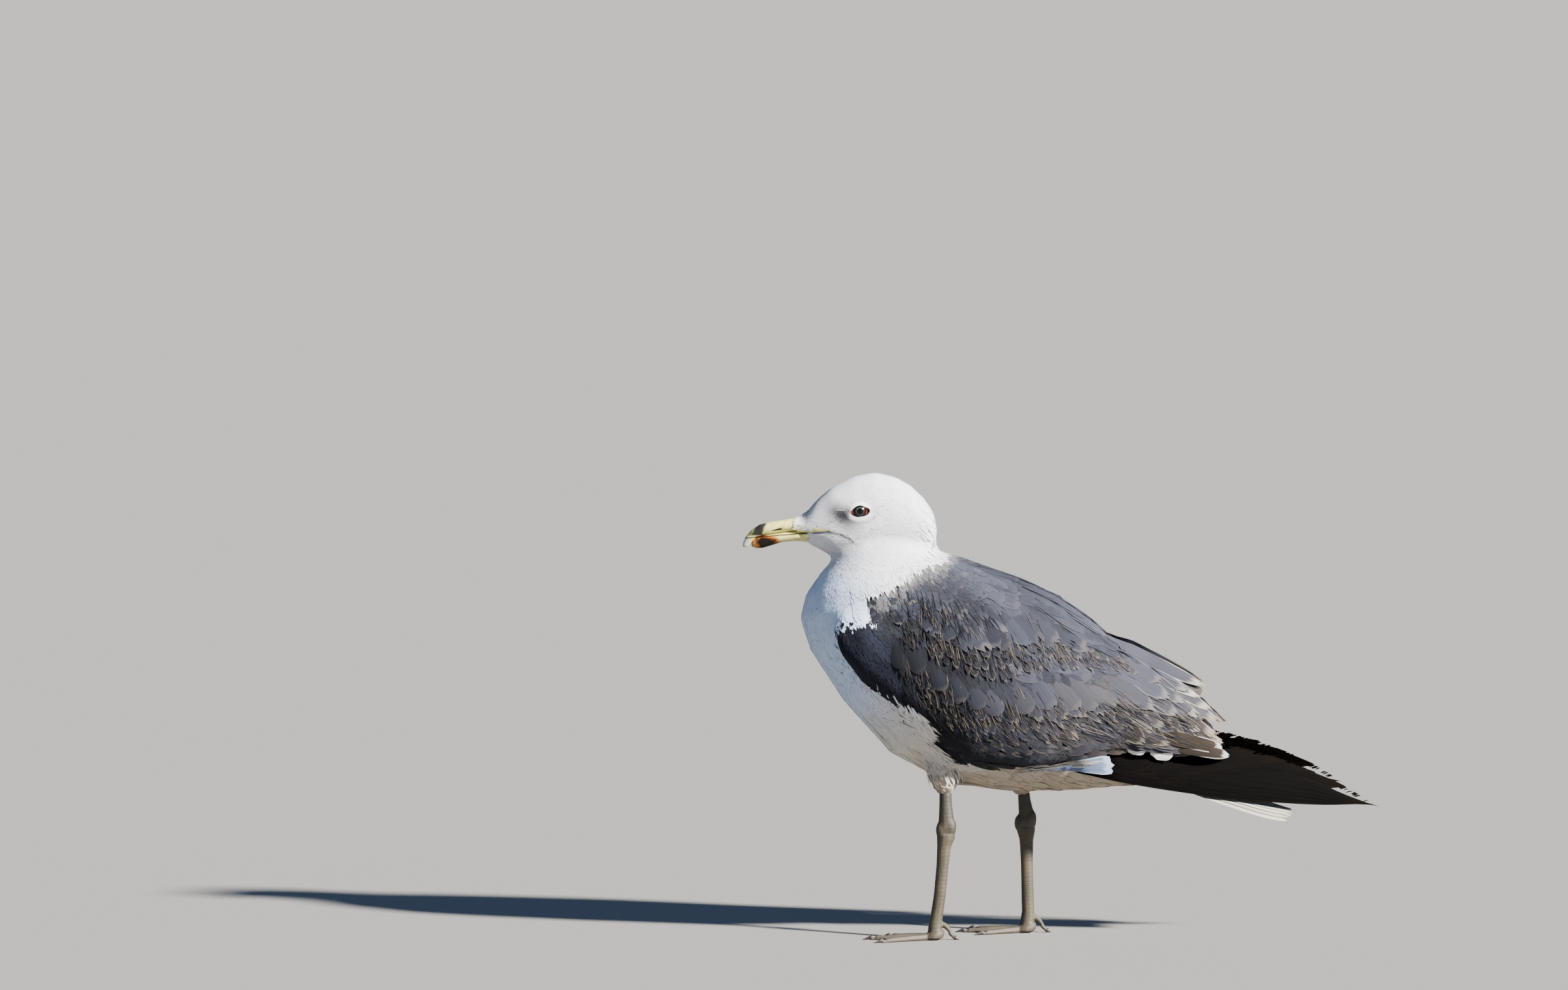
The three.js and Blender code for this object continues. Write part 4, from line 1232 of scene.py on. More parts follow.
# Long feathers, each laid on its own line
def longShape(columns, rowCount, tipPower, tipWidth, rootWidth=0.45):
    v = np.linspace(0, 1, rowCount) ** 0.85
    grow = mix(rootWidth, 1.0, smooth(0, 0.35, v))
    close = np.maximum(1 - v ** tipPower, 0) ** 0.6
    return np.linspace(-1, 1, columns), v, np.maximum(grow * close, tipWidth * grow)


def lineThrough(start, middle, end, v):
    # a gentle bow through three places
    a, b, c = (np.asarray(p, float) for p in (start, middle, end))
    b = 2 * b - (a + c) / 2
    v = v[:, None]
    return (1 - v) ** 2 * a + 2 * v * (1 - v) * b + v * v * c


def flat(way, count):
    return np.repeat(unit(np.asarray(way, float))[None], count, 0)


# The primaries of each wing are stacked: tips step along the upper edge, the longest makes the lower edge.
primarySet = {
    "count": 8, "barbs": 64, "thickness": 0.8, "half": 13.0, "rootX": 12,
    # heights of the two edges at the root and half way
    "lowEdge": (132, 111), "topEdge": (150, 153),
    "left": {"tip": (249.3, 3.2, 103.4), "lift": 0}, "right": {"tip": (221.3, 6.2, 121.9), "lift": 10},
}


def bow(u, a, b, c):
    return (1 - u) ** 2 * a + 2 * u * (1 - u) * (2 * b - (a + c) / 2) + u * u * c


def stackPlace(u, part):
    # distance along, lower and upper edge, and how far out the upper edge is, at share u of the stack
    tipX, tipY, tipZ = part["tip"]
    x = primarySet["rootX"] + (tipX - primarySet["rootX"]) * u
    (lowRoot, lowMiddle), (topRoot, topMiddle) = primarySet["lowEdge"], primarySet["topEdge"]
    low = bow(u, lowRoot, lowMiddle + part["lift"] * 0.5, tipZ - 1.0)
    top = bow(u, topRoot, topMiddle + part["lift"], tipZ + 1.2)
    return x, low, top, bow(u, 34, 10, tipY)


def makePrimaries():
    shape = longShape(7, 26, 7, 0.1)
    thickness = primarySet["thickness"]
    for sideName, side in (("left", -1), ("right", 1)):
        part = primarySet[sideName]
        coat = Coat("primaryVanes_" + sideName, shape, flightPlume, "black_plumage", 0.3)
        count = primarySet["count"]
        for i in range(count):
            end = 1 - i / (count - 1) * 0.72
            u = np.clip(mix(0.0, end, coat.v), 0, 1)
            x, low, top, yTop = stackPlace(u, part)
            band = top - low
            # the lower edge of each feather keeps to the lower edge of the wing until it narrows
            close = np.maximum(1 - coat.v ** 5, 0.0) ** 0.75
            half = np.minimum(primarySet["half"], band * 0.47) * np.maximum(close, 0.05)
            half = half * mix(0.7, 1, smooth(0, 0.25, coat.v))
            hold = smooth(0.35, 1.0, coat.v) if i else smooth(0.8, 1, coat.v) * 0.3
            z = mix(low + half + 0.2 + i * band * 0.03, top - half - 0.3, hold)
            # the stack fans out towards its root, whose first part tucks in under the tertials
            yLow = bow(u, 37, 27, part["tip"][1] + 1)
            y = mix(yLow, yTop, np.clip((z - low) / np.maximum(band, 0.5), 0, 1))
            y = y + 2.4 * (1 - u) + i * 0.42 * (1 - u * 0.5) - 0.6 - 7 * (1 - smooth(0.02, 0.14, u))
            centres = np.stack([x, side * y, z], 1)[None]
            up = flat((0, side, 0.3), len(x))[None]
            colour, edge = (tone["black"] * rng.uniform(0.8, 1.2))[None], tone["wornBlack"][None]
            coat.add(centres, up, half[None], 0.1, thickness, 0.012, colour, edge, np.array([0.3]))
        # short ragged barbs along the upper edge
        for _ in range(primarySet["barbs"]):
            u = rng.uniform(0.42, 0.97)
            x, _, top, yTop = stackPlace(u, part)
            reach = rng.uniform(5, 9) * (1.1 - 0.5 * u)
            start = (x - reach, side * (yTop + 1.6), top - 2.6)
            middle = (x - reach / 2, side * (yTop + 1.5), top - 1.8)
            end = (x, side * (yTop + 0.8), top - 0.9 - rng.uniform(0, 0.9))
            line = lineThrough(start, middle, end, coat.v)
            up = flat((0, side, 0.5), len(line))[None]
            half = np.array([rng.uniform(0.35, 0.75)])
            colour, edge = tone["wornBlack"][None] * 0.6, tone["wornBlack"][None]
            coat.add(line[None], up, half, 0.1, 0.4, 0.02, colour, edge, np.array([0.6]))
        coat.make(["primaries_" + sideName])


makePrimaries()

# Tips of the inner primaries show under the tertials: colour, start, middle, end, half width, lift.
innerTips = [
    ("white", (50, 151.5), (59, 150.8), (66.2, 149.6), 4.8, 1.0),
    ("white", (70, 149.5), (79, 148.6), (87.6, 147.2), 7.4, 1.4),
    ("brown", (84, 153), (108, 149.8), (131.6, 144.6), 5.0, 2.6),
    ("brown", (72, 162), (100, 157), (127, 150), 5.6, 3.2),
    ("blue", (-26, 134.5), (8, 137.6), (40.4, 138.8), 7.6, 3.0),
]
innerSet = {"thickness": 0.7, "streaks": 26, "streakLevel": 3.5}


def makeInnerTips():
    coat = Coat("innerPrimaries", longShape(7, 14, 9, 0.3), flightPlume, "black_plumage", 0.4)
    tones = {"white": tone["pale"] * 1.3, "brown": tone["brown"] * 0.6, "blue": tone["blue"]}
    squared = np.interp(coat.v, [0, 0.35, 0.9, 1], [0.15, 0.4, 1, 0.9])
    for side in (-1, 1):
        for kind, start, middle, end, half, lift in innerTips:
            line = lineThrough(start, middle, end, coat.v)
            level = lift * smooth(0, 0.4, coat.v)[None]
            centres, ups = onSide(line[None, :, 0], line[None, :, 1], side, level)
            ups = unit(ups + np.array([0, side * 1.0, 0]))
            colour, edge = tones[kind][None], tone["paleBlue" if kind == "blue" else "pale"][None]
            width = half * (squared if kind == "blue" else coat.profile)
            rim = np.array([0.6 if kind != "white" else 0])
            coat.add(centres, ups, width[None], 0.12, innerSet["thickness"], 0.05, colour, edge, rim)
            if kind == "blue":
                addStreaks(coat, side)
    coat.make()


def addStreaks(coat, side):
    # frayed pale streaks before the squared tip
    for _ in range(innerSet["streaks"]):
        x = rng.uniform(-22, 34)
        end = np.array([x, np.interp(x, [-26, 40], [134.5, 142]) + rng.normal(0, 1.6)])
        reach = rng.uniform(10, 22)
        line = lineThrough(end - [reach, reach * 0.1], end - [reach / 2, reach * 0.02], end, coat.v)
        level = np.full((1, len(line)), innerSet["streakLevel"])
        centres, ups = onSide(line[None, :, 0], line[None, :, 1], side, level)
        shade = mix(tone["pale"], tone["brown"], rng.uniform(0, 0.7)) * rng.uniform(0.7, 1.1)
        half = np.array([rng.uniform(0.4, 0.9)])
        coat.add(centres, ups, half, 0.1, 0.3, 0.02, shade[None], shade[None], np.zeros(1))


makeInnerTips()

# The tertials are a fan of long feathers that closes the back of the wing.
tertialSet = {"thickness": 0.6, "step": 0.16}
tertialFan = [
    # tip, fall in degrees, length, half width, brownness, lightness, pale rim
    ((112, 198), 27, 96, 5.5, 0.15, 1.35, 0.9),
    ((109, 190.5), 29, 98, 6, 0.2, 1.4, 0.9),
    ((100, 195), 27, 80, 7, 0.1, 1.2, 0.4),
    ((97, 186), 30, 84, 8, 0.2, 1.1, 0.4),
    ((117, 180), 33, 92, 6, 0.3, 1.3, 0.9),
    ((130.5, 166.5), 37, 90, 4.5, 0.3, 1.5, 0.8),
    ((124, 171), 35, 88, 6, 0.35, 1.5, 0.9),
    ((107, 176), 34, 80, 7, 0.4, 1.05, 0.5),
    ((92, 176), 34, 70, 8.5, 0.3, 1.05, 0.3),
    ((121, 160), 31, 86, 7, 0.7, 1.0, 0.8),
    ((109, 164), 33, 74, 7, 0.8, 0.9, 0.6),
    ((127, 154.5), 24, 84, 6, 0.8, 1.0, 0.6),
    ((112, 154), 24, 72, 6.5, 0.9, 0.8, 0.6),
    ((96, 162), 33, 64, 8, 0.7, 0.85, 0.4),
    ((80, 168), 36, 56, 9, 0.5, 0.9, 0.3),
    ((84, 155), 28, 54, 7, 0.9, 0.7, 0.5),
    ((66, 158), 36, 44, 8, 0.8, 0.7, 0.4),
    ((100, 150), 15, 60, 5, 1.0, 0.75, 0.7),
    ((84, 190), 31, 70, 9, 0.1, 1.15, 0.2),
    ((72, 182), 34, 64, 9.5, 0.2, 1.1, 0.2),
    ((78, 202), 29, 60, 9, 0.1, 1.15, 0.2),
]
# cream and brown strands lie over the lower fan, long pale ones over its upper rear
strawTone = mix(tone["buff"], tone["pale"], 0.12)
fanStrands = (
    {"low": (46, 150), "high": (124, 178), "number": 95, "dark": 0.5, "shade": strawTone},
    {"low": (104, 176), "high": (131, 190), "number": 18, "dark": 0.0, "shade": tone["pale"] * 0.8},
)


def makeTertials():
    layers = sorted(tertialFan, key=lambda one: one[0][1] + (131 - one[0][0]) * 0.6)
    for sideName, side in (("left", -1), ("right", 1)):
        coat = Coat("tertialVanes_" + sideName, longShape(9, 16, 6, 0.3), backPlume, "grey_plumage", 0.6)
        for order, (tip, fall, reach, half, brown, light, rim) in enumerate(layers):
            tips = np.array([tip], float) + rng.normal(0, 0.5, (1, 2))
            angles = np.radians([float(fall)])
            x, z = hungFrom(
                tips, angles, np.array([float(reach)]), coat.v, np.array([[rng.uniform(-0.15, 0.05)]]))
            raised = 0.4 + order * tertialSet["step"] + rng.uniform(0, 0.3)
            centres, ups = onSide(x, z, side, raised * coat.v[None] - 1.0 * (1 - coat.v[None]))
            colour = mix(tone["grey"], tone["brown"], brown)[None] * light * rng.uniform(0.92, 1.08)
            edge = mix(tone["buff"], tone["pale"], rng.uniform(0.0, 0.5))[None]
            rims = np.array([rim * 0.8])
            coat.add(centres, ups, np.array([half]), 0.1, tertialSet["thickness"], 0.06, colour, edge, rims)
        coat.make(["tertials_" + sideName])
        for patch in fanStrands:
            tips = rng.uniform(patch["low"], patch["high"], (patch["number"], 2))
            tips = tips[tips[:, 1] < 199 - (tips[:, 0] - 100) * 1.05]
            angles = np.radians(np.interp(tips[:, 1], [148, 160, 190], [18, 32, 35]))
            angles = angles + rng.normal(0, 0.05, len(tips))
            addSlivers(tips, angles, side, 22, 3.2, 1, patch["shade"], patch["dark"])


# The closed wings as a map seen from above, with the slot between them bridged
ridgeMap = {"x0": 0, "y0": -60, "step": 3.0, "columns": 46, "rows": 41}


def readTop():
    form = copyOfNodes(fleshNodes + ["tertials_left", "tertials_right"])
    tree = BVHTree.FromBMesh(form)
    form.free()
    top = np.full((ridgeMap["rows"], ridgeMap["columns"]), 100.0)
    for i in range(ridgeMap["rows"]):
        for j in range(ridgeMap["columns"]):
            x, y = ridgeMap["x0"] + j * ridgeMap["step"], ridgeMap["y0"] + i * ridgeMap["step"]
            hit = tree.ray_cast(Vector((x, y, 400)) * mm, Vector((0, 0, -1)))[0]
            if hit is not None:
                top[i, j] = hit.z / mm
    steps = [(a, b) for a in range(-3, 4) for b in range(-1, 2)]
    high, wide = top.shape

    def filtered(grid, pick):
        padded = np.pad(grid, 3, mode="edge")
        return pick([padded[3 + a:3 + a + high, 3 + b:3 + b + wide] for a, b in steps], axis=0)

    closed = filtered(filtered(top, np.max), np.min)
    return filtered(closed, np.mean)


topStand = readTop()
topSlope = np.gradient(topStand, ridgeMap["step"])


def onTop(x, y, level):
    j = np.clip((x - ridgeMap["x0"]) / ridgeMap["step"], 0, ridgeMap["columns"] - 1.001)
    i = np.clip((y - ridgeMap["y0"]) / ridgeMap["step"], 0, ridgeMap["rows"] - 1.001)
    i0, j0 = i.astype(int), j.astype(int)
    a, b = i - i0, j - j0

    def at(grid):
        near = grid[i0, j0] * (1 - b) + grid[i0, j0 + 1] * b
        return near * (1 - a) + (grid[i0 + 1, j0] * (1 - b) + grid[i0 + 1, j0 + 1] * b) * a

    slopeY, slopeX = (np.clip(at(grid), -1.5, 1.5) for grid in topSlope)
    ups = unit(np.stack([-slopeX, -slopeY, np.ones(x.shape)], -1))
    return np.stack([x, y, at(topStand)], -1) + ups * level[..., None], ups


# Feathers that close the top of the folded wings, in lanes that draw together to the rear
ridge = {
    "lanes": (27, 23, 19, 15, 11.5, 8, 4.5, 1.5), "rows": 11, "front": 16, "step": 6.6, "rear": 110,
    "thickness": 0.4,
}


def makeRidge():
    coat = Coat("coatRump", "cover", backPlume, "grey_plumage", 0.6)
    for lane in ridge["lanes"]:
        for side in (-1, 1):
            for k in range(ridge["rows"]):
                x = ridge["front"] + k * ridge["step"] + rng.uniform(-2, 2)
                reach = min(rng.uniform(30, 42), ridge["rear"] - x)
                run = (x + coat.v * reach)[None]
                y = side * (lane + rng.uniform(-0.6, 0.6)) * (1 - 0.22 * smooth(20, 110, run))
                level = mix(-1.3, 0.5 + 0.1 * k, coat.v)[None]
                centres, ups = onTop(run, y, level)
                colour = backTone(centres[:, 4], 0.08)
                half, edge, rim = np.array([rng.uniform(4.5, 6.0)]), tone["buff"][None], rng.uniform(0.0, 0.4)
                coat.add(centres, ups, half, 0.08, ridge["thickness"], 0.08, colour, edge, np.array([rim]))
    coat.make()


# The white rump, in the hollow between the folded wings
rump = {"spacing": 4.2, "front": 62, "aside": 26, "low": 112, "high": 196, "thickness": 0.2}


def inHollow(p):
    beside = (p[:, 0] > rump["front"]) & (abs(p[:, 1]) < rump["aside"])
    return beside & (p[:, 2] > rump["low"]) & (p[:, 2] < rump["high"])


def makeRumpDown():
    coat = Coat("coatRumpWhite", "soft", softPlume, "white_plumage", 0.8)
    roots = evenPoints(rump["spacing"], inHollow, 51)
    n = len(roots)
    length = rng.uniform(11, 15, n)
    centres, ups = growCentres(roots, bodyWay, length, coat.v, 0.5, 0.25 + rng.uniform(0, 0.2, n))
    colour = tone["white"] * rng.uniform(0.78, 0.92, (n, 1))
    half = rng.uniform(2.2, 3.0, n)
    coat.add(centres, ups, half, 0.08, rump["thickness"], 0.1, colour, colour, np.zeros(n))
    coat.make()


makeRumpDown()
makeTertials()
makeRidge()
slivers.make()

# Tail: twelve feathers in a fan, the middle pair on top, with coverts over and under their root
tailSet = {"root": (70, 134), "end": (182.5, 99.5), "half": 10.5, "thickness": 0.8, "coverts": 40}


def makeTail():
    coat = Coat("tailVanes", longShape(7, 18, 8, 0.5), softPlume, "white_plumage", 0.4)
    (rootX, rootZ), (endX, endZ) = tailSet["root"], tailSet["end"]
    order = sorted([0, 1, -1, 2, -2, 3, -3, 4, -4, 5, -5, 6], key=abs, reverse=True)
    for place, i in enumerate(order):
        share = (i - 0.5) / 6
        endY, startY, drop = share * 24, share * 9, 5.0 * share ** 2
        reach = endX - 3.5 * share ** 2 + rng.uniform(-2.5, 0)
        middle = (mix(rootX, reach, 0.5), mix(startY, endY, 0.6), mix(rootZ, endZ, 0.5) - drop * 0.8)
        line = lineThrough((rootX, startY, rootZ - drop * 0.4), middle, (reach, endY, endZ - drop), coat.v)
        line[:, 2] += place * 0.28 - 1.6
        up = flat((0.2, share * 0.4, 1), len(line))[None]
        # the white tail feathers are painted dark cream: painted shade under the wings
        colour = (mix(tone["white"], tone["cream"], 0.7) * rng.uniform(0.5, 0.7))[None]
        half = np.array([tailSet["half"]])
        coat.add(line[None], up, half, 0.1, tailSet["thickness"], 0.03, colour, colour, np.zeros(1))
    for under in (0, 1):
        for _ in range(tailSet["coverts"]):
            share, x, reach = rng.uniform(-1, 1), rng.uniform(44, 92), rng.uniform(38, 56)
            centreZ = np.interp(x, [40, 112, 182], [142, 123, 99.5])
            off = np.interp(x, [48, 92], [15, 6]) * (-1 if under else 1)
            y = share * np.interp(x, [48, 92], [20, 14])
            start = (x, y, centreZ + off * (1 - 0.4 * share ** 2))
            middle = (x + reach / 2, y * 1.05, centreZ - reach * 0.19 + off * 0.62)
            end = (x + reach, y * 1.1, centreZ - reach * 0.36 + off * 0.32)
            line = lineThrough(start, middle, end, coat.v)
            up = flat((0.15, share * 0.5, -1 if under else 1), len(line))[None]
            colour = (tone["cream"] * rng.uniform(1.0, 1.1))[None]
            coat.add(line[None], up, np.array([8.0]), 0.2, 0.6, 0.08, colour, colour, np.zeros(1))
    coat.make(["tail"])


makeTail()

# Bill
bill = {"voxel": 0.5, "nostril": (-223.0, 320.3), "slitHalf": 5.0, "slitTilt": 0.23, "slitDepth": 1.1}


def billMaterial():
    kit = Kit("billHorn")
    x, y, z = kit.parts(kit.place())
    x, z = x * 1000, z * 1000
    speckle = kit.noise(kit.place(), 260, 3)
    wobble = (speckle - 0.5) * 3 + (kit.noise(kit.place(), 130, 1) - 0.5) * 7
    horn = kit.blend(speckle.rise(0.35, 0.75), (0.66, 0.63, 0.23), (0.52, 0.47, 0.13))
    horn = kit.blend((1 - z.rise(313.5, 317.0)) * 0.7, horn, (0.58, 0.52, 0.24))
    # dark band across the upper half, slanting forwards and down
    front = (x - (z - 316.2) * 0.61 + wobble * 0.5).rise(-245.4, -242.0)
    rear = 1 - (x - (z - 316.2) * 0.2 + wobble * 0.5).rise(-234.4, -230.6)
    bandUpper = front * rear * z.rise(315.2, 316.4)
    colour = kit.blend(bandUpper * 0.98, horn, (0.006, 0.006, 0.010))
    # brown-red stain round the dark spot of the lower half
    spotX, spotZ = (x + 231.0 + wobble * 0.6) / 11.8, (z - 310.4) / 6.4
    glow = 1 - (spotX * spotX + spotZ * spotZ).rise(0.5, 1.3)
    stain = kit.blend(speckle.rise(0.4, 0.65), (0.34, 0.105, 0.009), (0.15, 0.032, 0.004))
    colour = kit.blend(glow * (1 - z.rise(315.6, 317.6)), colour, stain)
    coreX, coreZ = (x + 232.0 + wobble * 1.1) / 8.6, (z - 310.0 + wobble * 0.3) / 5.2
    core = 1 - (coreX * coreX + coreZ * coreZ).rise(0.45, 1.25)
    colour = kit.blend(core * (1 - z.rise(313.8, 315.2)), colour, (0.006, 0.003, 0.002))
    tip = 1 - (x + (z - 312) * 0.5 + wobble * 0.4).rise(-246.8, -241.5)
    colour = kit.blend(tip * 0.9, colour, (0.36, 0.40, 0.38))
    # stained line where the halves meet
    meeting = 314.2 + (x + 242.5) * 0.09
    line = 1 - (z - meeting + wobble * 0.12).maths("ABSOLUTE").rise(0.2, 0.8)
    colour = kit.blend(line * 0.95, colour, (0.022, 0.008, 0.004))
    # the nostril slit is painted dark: painted shade in its hollow
    slit, _, _ = kit.parts(kit.attribute("slit"))
    colour = kit.blend(slit, colour, (0.03, 0.02, 0.012))
    kit.surface(Base_Color=colour, Roughness=0.36 + speckle * 0.2, IOR=1.5)
    kit.shader.inputs["Specular IOR Level"].default_value = 0.2
    grooves = kit.noise(kit.vector(x * 0.06, y * 900, z * 1.6), 1.5, 2)
    kit.bump(grooves + speckle * 0.4, 0.25, 0.0004)
    return kit.material


billHorn = billMaterial()


def makeBill():
    for name in ("bill_upper", "bill_lower"):
        form = remeshed(copyOfNodes([name]), bill["voxel"], 4)
        marks = []
        for v in form.verts:
            p = np.array(v.co) / mm
            dx, dz = p[0] - bill["nostril"][0], p[2] - bill["nostril"][1]
            along = dx * math.cos(bill["slitTilt"]) + dz * math.sin(bill["slitTilt"])
            aside = dz * math.cos(bill["slitTilt"]) - dx * math.sin(bill["slitTilt"])
            depth = 0
            if name == "bill_upper":
                depth = max(0.0, 1 - (along / bill["slitHalf"]) ** 2)
                depth = depth * max(0.0, 1 - (aside / (0.75 + 0.09 * along)) ** 2)
            if depth > 0:
                v.co.y -= math.copysign(bill["slitDepth"] * depth * mm, v.co.y)
            marks.append(min(1.0, depth * 2.2))
        mesh = meshOf(form, name)
        layer = mesh.color_attributes.new("slit", "FLOAT_COLOR", "POINT")
        layer.data.foreach_set("color", np.repeat(np.array(marks), 4))
        form.free()
        piece = newObject(name + "_horn", mesh, billHorn)
        finishPiece(piece, [name])


makeBill()
makeGape()
print("bill made")

# Eyes and lids
eye = {"radius": 7.2, "aside": 17.2}
# the lids' opening and outer edge, as half length and half height, and loops between them: share, height
lids = {
    "inner": (5.15, 3.9), "outer": (8.1, 4.9),
    "loops": ((0.0, -0.15), (0.02, 0.35), (0.3, 0.55), (0.7, 0.5), (1.0, 0.15), (0.9, -0.8)),
}


def eyeMaterial():
    kit = Kit("eyeGloss")
    x, y, z = kit.parts(kit.place())
    dx, dz = x * 1000 - eyeAt[0], z * 1000 - eyeAt[2]
    reach = (dx * dx + dz * dz) ** 0.5
    aside = dx - 0.7
    inner = (aside * aside + dz * dz) ** 0.5
    angle = dz.maths("ARCTAN2", dx)
    rays = kit.noise(kit.vector(angle * 5, reach * 0.35, 0.0), 2.0, 3)
    iris = kit.blend(rays.rise(0.3, 0.7), (0.018, 0.019, 0.018), (0.037, 0.038, 0.035))
    iris = kit.blend(reach.rise(2.8, 3.9), iris, (0.005, 0.004, 0.004))
    iris = kit.blend((1 - inner.rise(2.4, 3.2)) * 0.6, iris, (0.03, 0.03, 0.029))
    colour = kit.blend(1 - inner.rise(2.3, 2.6), iris, (0.001, 0.001, 0.001))
    colour = kit.blend(reach.rise(4.5, 4.9), colour, (0.012, 0.008, 0.007))
    # a small painted glint, high and to the rear
    glintX, glintZ = dx - 2.7, dz - 2.1
    glint = 1 - (glintX * glintX + glintZ * glintZ).rise(0.2, 0.5)
    shine = kit.blend(glint, (0.0, 0.0, 0.0), (1.0, 1.0, 1.0))
    kit.surface(Base_Color=colour, Roughness=0.3, Coat_Weight=0.25, Coat_Roughness=0.07, Emission_Color=shine)
    kit.shader.inputs["Emission Strength"].default_value = 2.0
    kit.shader.inputs["Specular IOR Level"].default_value = 0.1
    return kit.material


eyeGloss = eyeMaterial()


def lidMaterial():
    kit = Kit("lidSkin")
    x, y, z = kit.parts(kit.place())
    dx = (x * 1000 - eyeAt[0]).maths("ABSOLUTE")
    fine = kit.noise(kit.place(), 1500, 2)
    corner = (dx + (fine - 0.5) * 2.5).rise(4.2, 5.8)
    red = kit.blend(fine.rise(0.42, 0.62), (0.035, 0.006, 0.003), (0.17, 0.034, 0.008))
    colour = kit.blend(corner, (0.004, 0.002, 0.002), red)
    kit.surface(Base_Color=colour, Roughness=0.6)
    kit.shader.inputs["Specular IOR Level"].default_value = 0.15
    kit.bump(fine, 0.4, 0.0003)
    return kit.material


lidSkin = lidMaterial()


def makeEyes():
    for sideName, side in (("left", -1), ("right", 1)):
        form = bmesh.new()
        bmesh.ops.create_uvsphere(form, u_segments=48, v_segments=30, radius=eye["radius"] * mm)
        centre = Vector((eyeAt[0], side * eye["aside"], eyeAt[2])) * mm
        for v in form.verts:
            v.co = Vector((v.co.x, v.co.z, v.co.y)) + centre
        bmesh.ops.recalc_face_normals(form, faces=form.faces)
        mesh = meshOf(form, "eyeball_" + sideName)
        form.free()
        finishPiece(newObject("eyeball_" + sideName, mesh, eyeGloss), ["eye_" + sideName])
        # lids: rings about the eye's opening, closed round their edge
        ring = bmesh.new()
        bmesh.ops.create_circle(ring, segments=72, radius=1.0)
        edges = list(ring.edges)
        angles = {v: math.atan2(v.co.y, v.co.x) for v in ring.verts}

        def lay(loop, share, out):
            # share runs from the lids' inner margin (0) to their feathered edge (1)
            for v, a in loop.items():
                c, s = math.cos(a), math.sin(a)
                px = c * mix(lids["inner"][0], lids["outer"][0], share)
                pz = s * mix(lids["inner"][1], lids["outer"][1], share) * abs(s) ** mix(0.15, 0.6, share)
                r = min(math.hypot(px, pz), eye["radius"] - 0.3)
                py = max(math.sqrt(eye["radius"] ** 2 - r * r), 4.4) + out
                v.co = Vector((eyeAt[0] + px, side * (eye["aside"] + py), eyeAt[2] + pz + px * 0.1)) * mm

        loops = [angles]
        for _ in lids["loops"][1:]:
            grown = bmesh.ops.extrude_edge_only(ring, edges=edges)["geom"]
            verts = [g for g in grown if isinstance(g, bmesh.types.BMVert)]
            edges = [g for g in grown if isinstance(g, bmesh.types.BMEdge) and g.is_boundary]
            older = loops[-1]
            loops.append({})
            for v in verts:
                partner = next(e.other_vert(v) for e in v.link_edges if e.other_vert(v) in older)
                loops[-1][v] = older[partner]
        for loop, (share, out) in zip(loops, lids["loops"]):
            lay(loop, share, out)
        bmesh.ops.bridge_loops(ring, edges=[e for e in ring.edges if e.is_boundary])
        bmesh.ops.recalc_face_normals(ring, faces=ring.faces)
        mesh = meshOf(ring, "lids_" + sideName)
        ring.free()
        finishPiece(newObject("lids_" + sideName, mesh, lidSkin), ["eyelid_" + sideName])


makeEyes()
print("eyes made")

# Legs and feet
legs = {
    "voxel": 0.85, "toes": ("inner", "middle", "outer", "hind"),
    # knobs of the ankle: x, z, radius
    "knobs": {
        "left": [(-93.2, 86.5, 5.0), (-87.0, 89.0, 5.4)], "right": [(-30.6, 86.5, 5.2), (-24.0, 89.5, 6.2)]
    },
}


def legMaterial():
    kit = Kit("legSkin")
    place = kit.place()
    x, y, z = kit.parts(place)
    broad = kit.noise(place, 60, 3)
    settings = {"feature": "DISTANCE_TO_EDGE"}
    cells = kit.node("ShaderNodeTexVoronoi", settings, {"Vector": place, "Scale": 760.0}, "Distance")
    scutes = (z * 1000 / 3.1).maths("FRACT")
    crease = 1 - (scutes - 0.5).maths("ABSOLUTE").rise(0.36, 0.5)
    seams = cells.rise(0.0, 0.16)
    colour = kit.blend(broad.rise(0.35, 0.7), (0.030, 0.024, 0.012), (0.056, 0.042, 0.021))
    colour = kit.blend((1 - seams) * 0.16, colour, (0.018, 0.013, 0.008))
    low = 1 - (z * 1000 + (broad - 0.5) * 8).rise(2, 14)
    colour = kit.blend(low * 0.5, colour, (0.055, 0.043, 0.034))
    # darker towards the top of the legs: painted shade under the body
    colour = kit.blend((z * 1000).rise(75, 112) * 0.75, colour, (0.010, 0.009, 0.006))
    kit.surface(Base_Color=colour, Roughness=0.6)
    kit.bump(seams * 0.3 + crease * 0.5, 0.4, 0.0005)
    return kit.material


legSkin = legMaterial()


def clawMaterial():
    kit = Kit("clawHorn")
    grain = kit.noise(kit.place(), 900, 2)
    colour = kit.blend(grain.rise(0.4, 0.8), (0.018, 0.015, 0.013), (0.05, 0.042, 0.034))
    kit.surface(Base_Color=colour, Roughness=0.38)
    kit.bump(grain, 0.2, 0.0003)
    return kit.material


clawHorn = clawMaterial()


def addBall(form, centre, radius, tall=1.0):
    place = Matrix.Translation(centre) @ Matrix.Diagonal((1, 1, tall, 1))
    bmesh.ops.create_icosphere(form, subdivisions=2, radius=radius * mm, matrix=place)


def addCuticle(form, legPoints, claw):
    # skin that closes over the root of a claw
    clawPoints = np.array([v.co for v in claw.verts])
    gap = np.linalg.norm(legPoints[:, None] - clawPoints[None], axis=2)
    toe = legPoints[gap.min(axis=1).argmin()]
    root = clawPoints[gap.min(axis=0).argsort()[:8]].mean(axis=0)
    run = unit(clawPoints.mean(axis=0) - toe)
    for share in np.linspace(0, 1, 7):
        addBall(form, mix(toe - run * 0.0022, root + run * 0.0009, share), mix(1.9, 1.45, share))


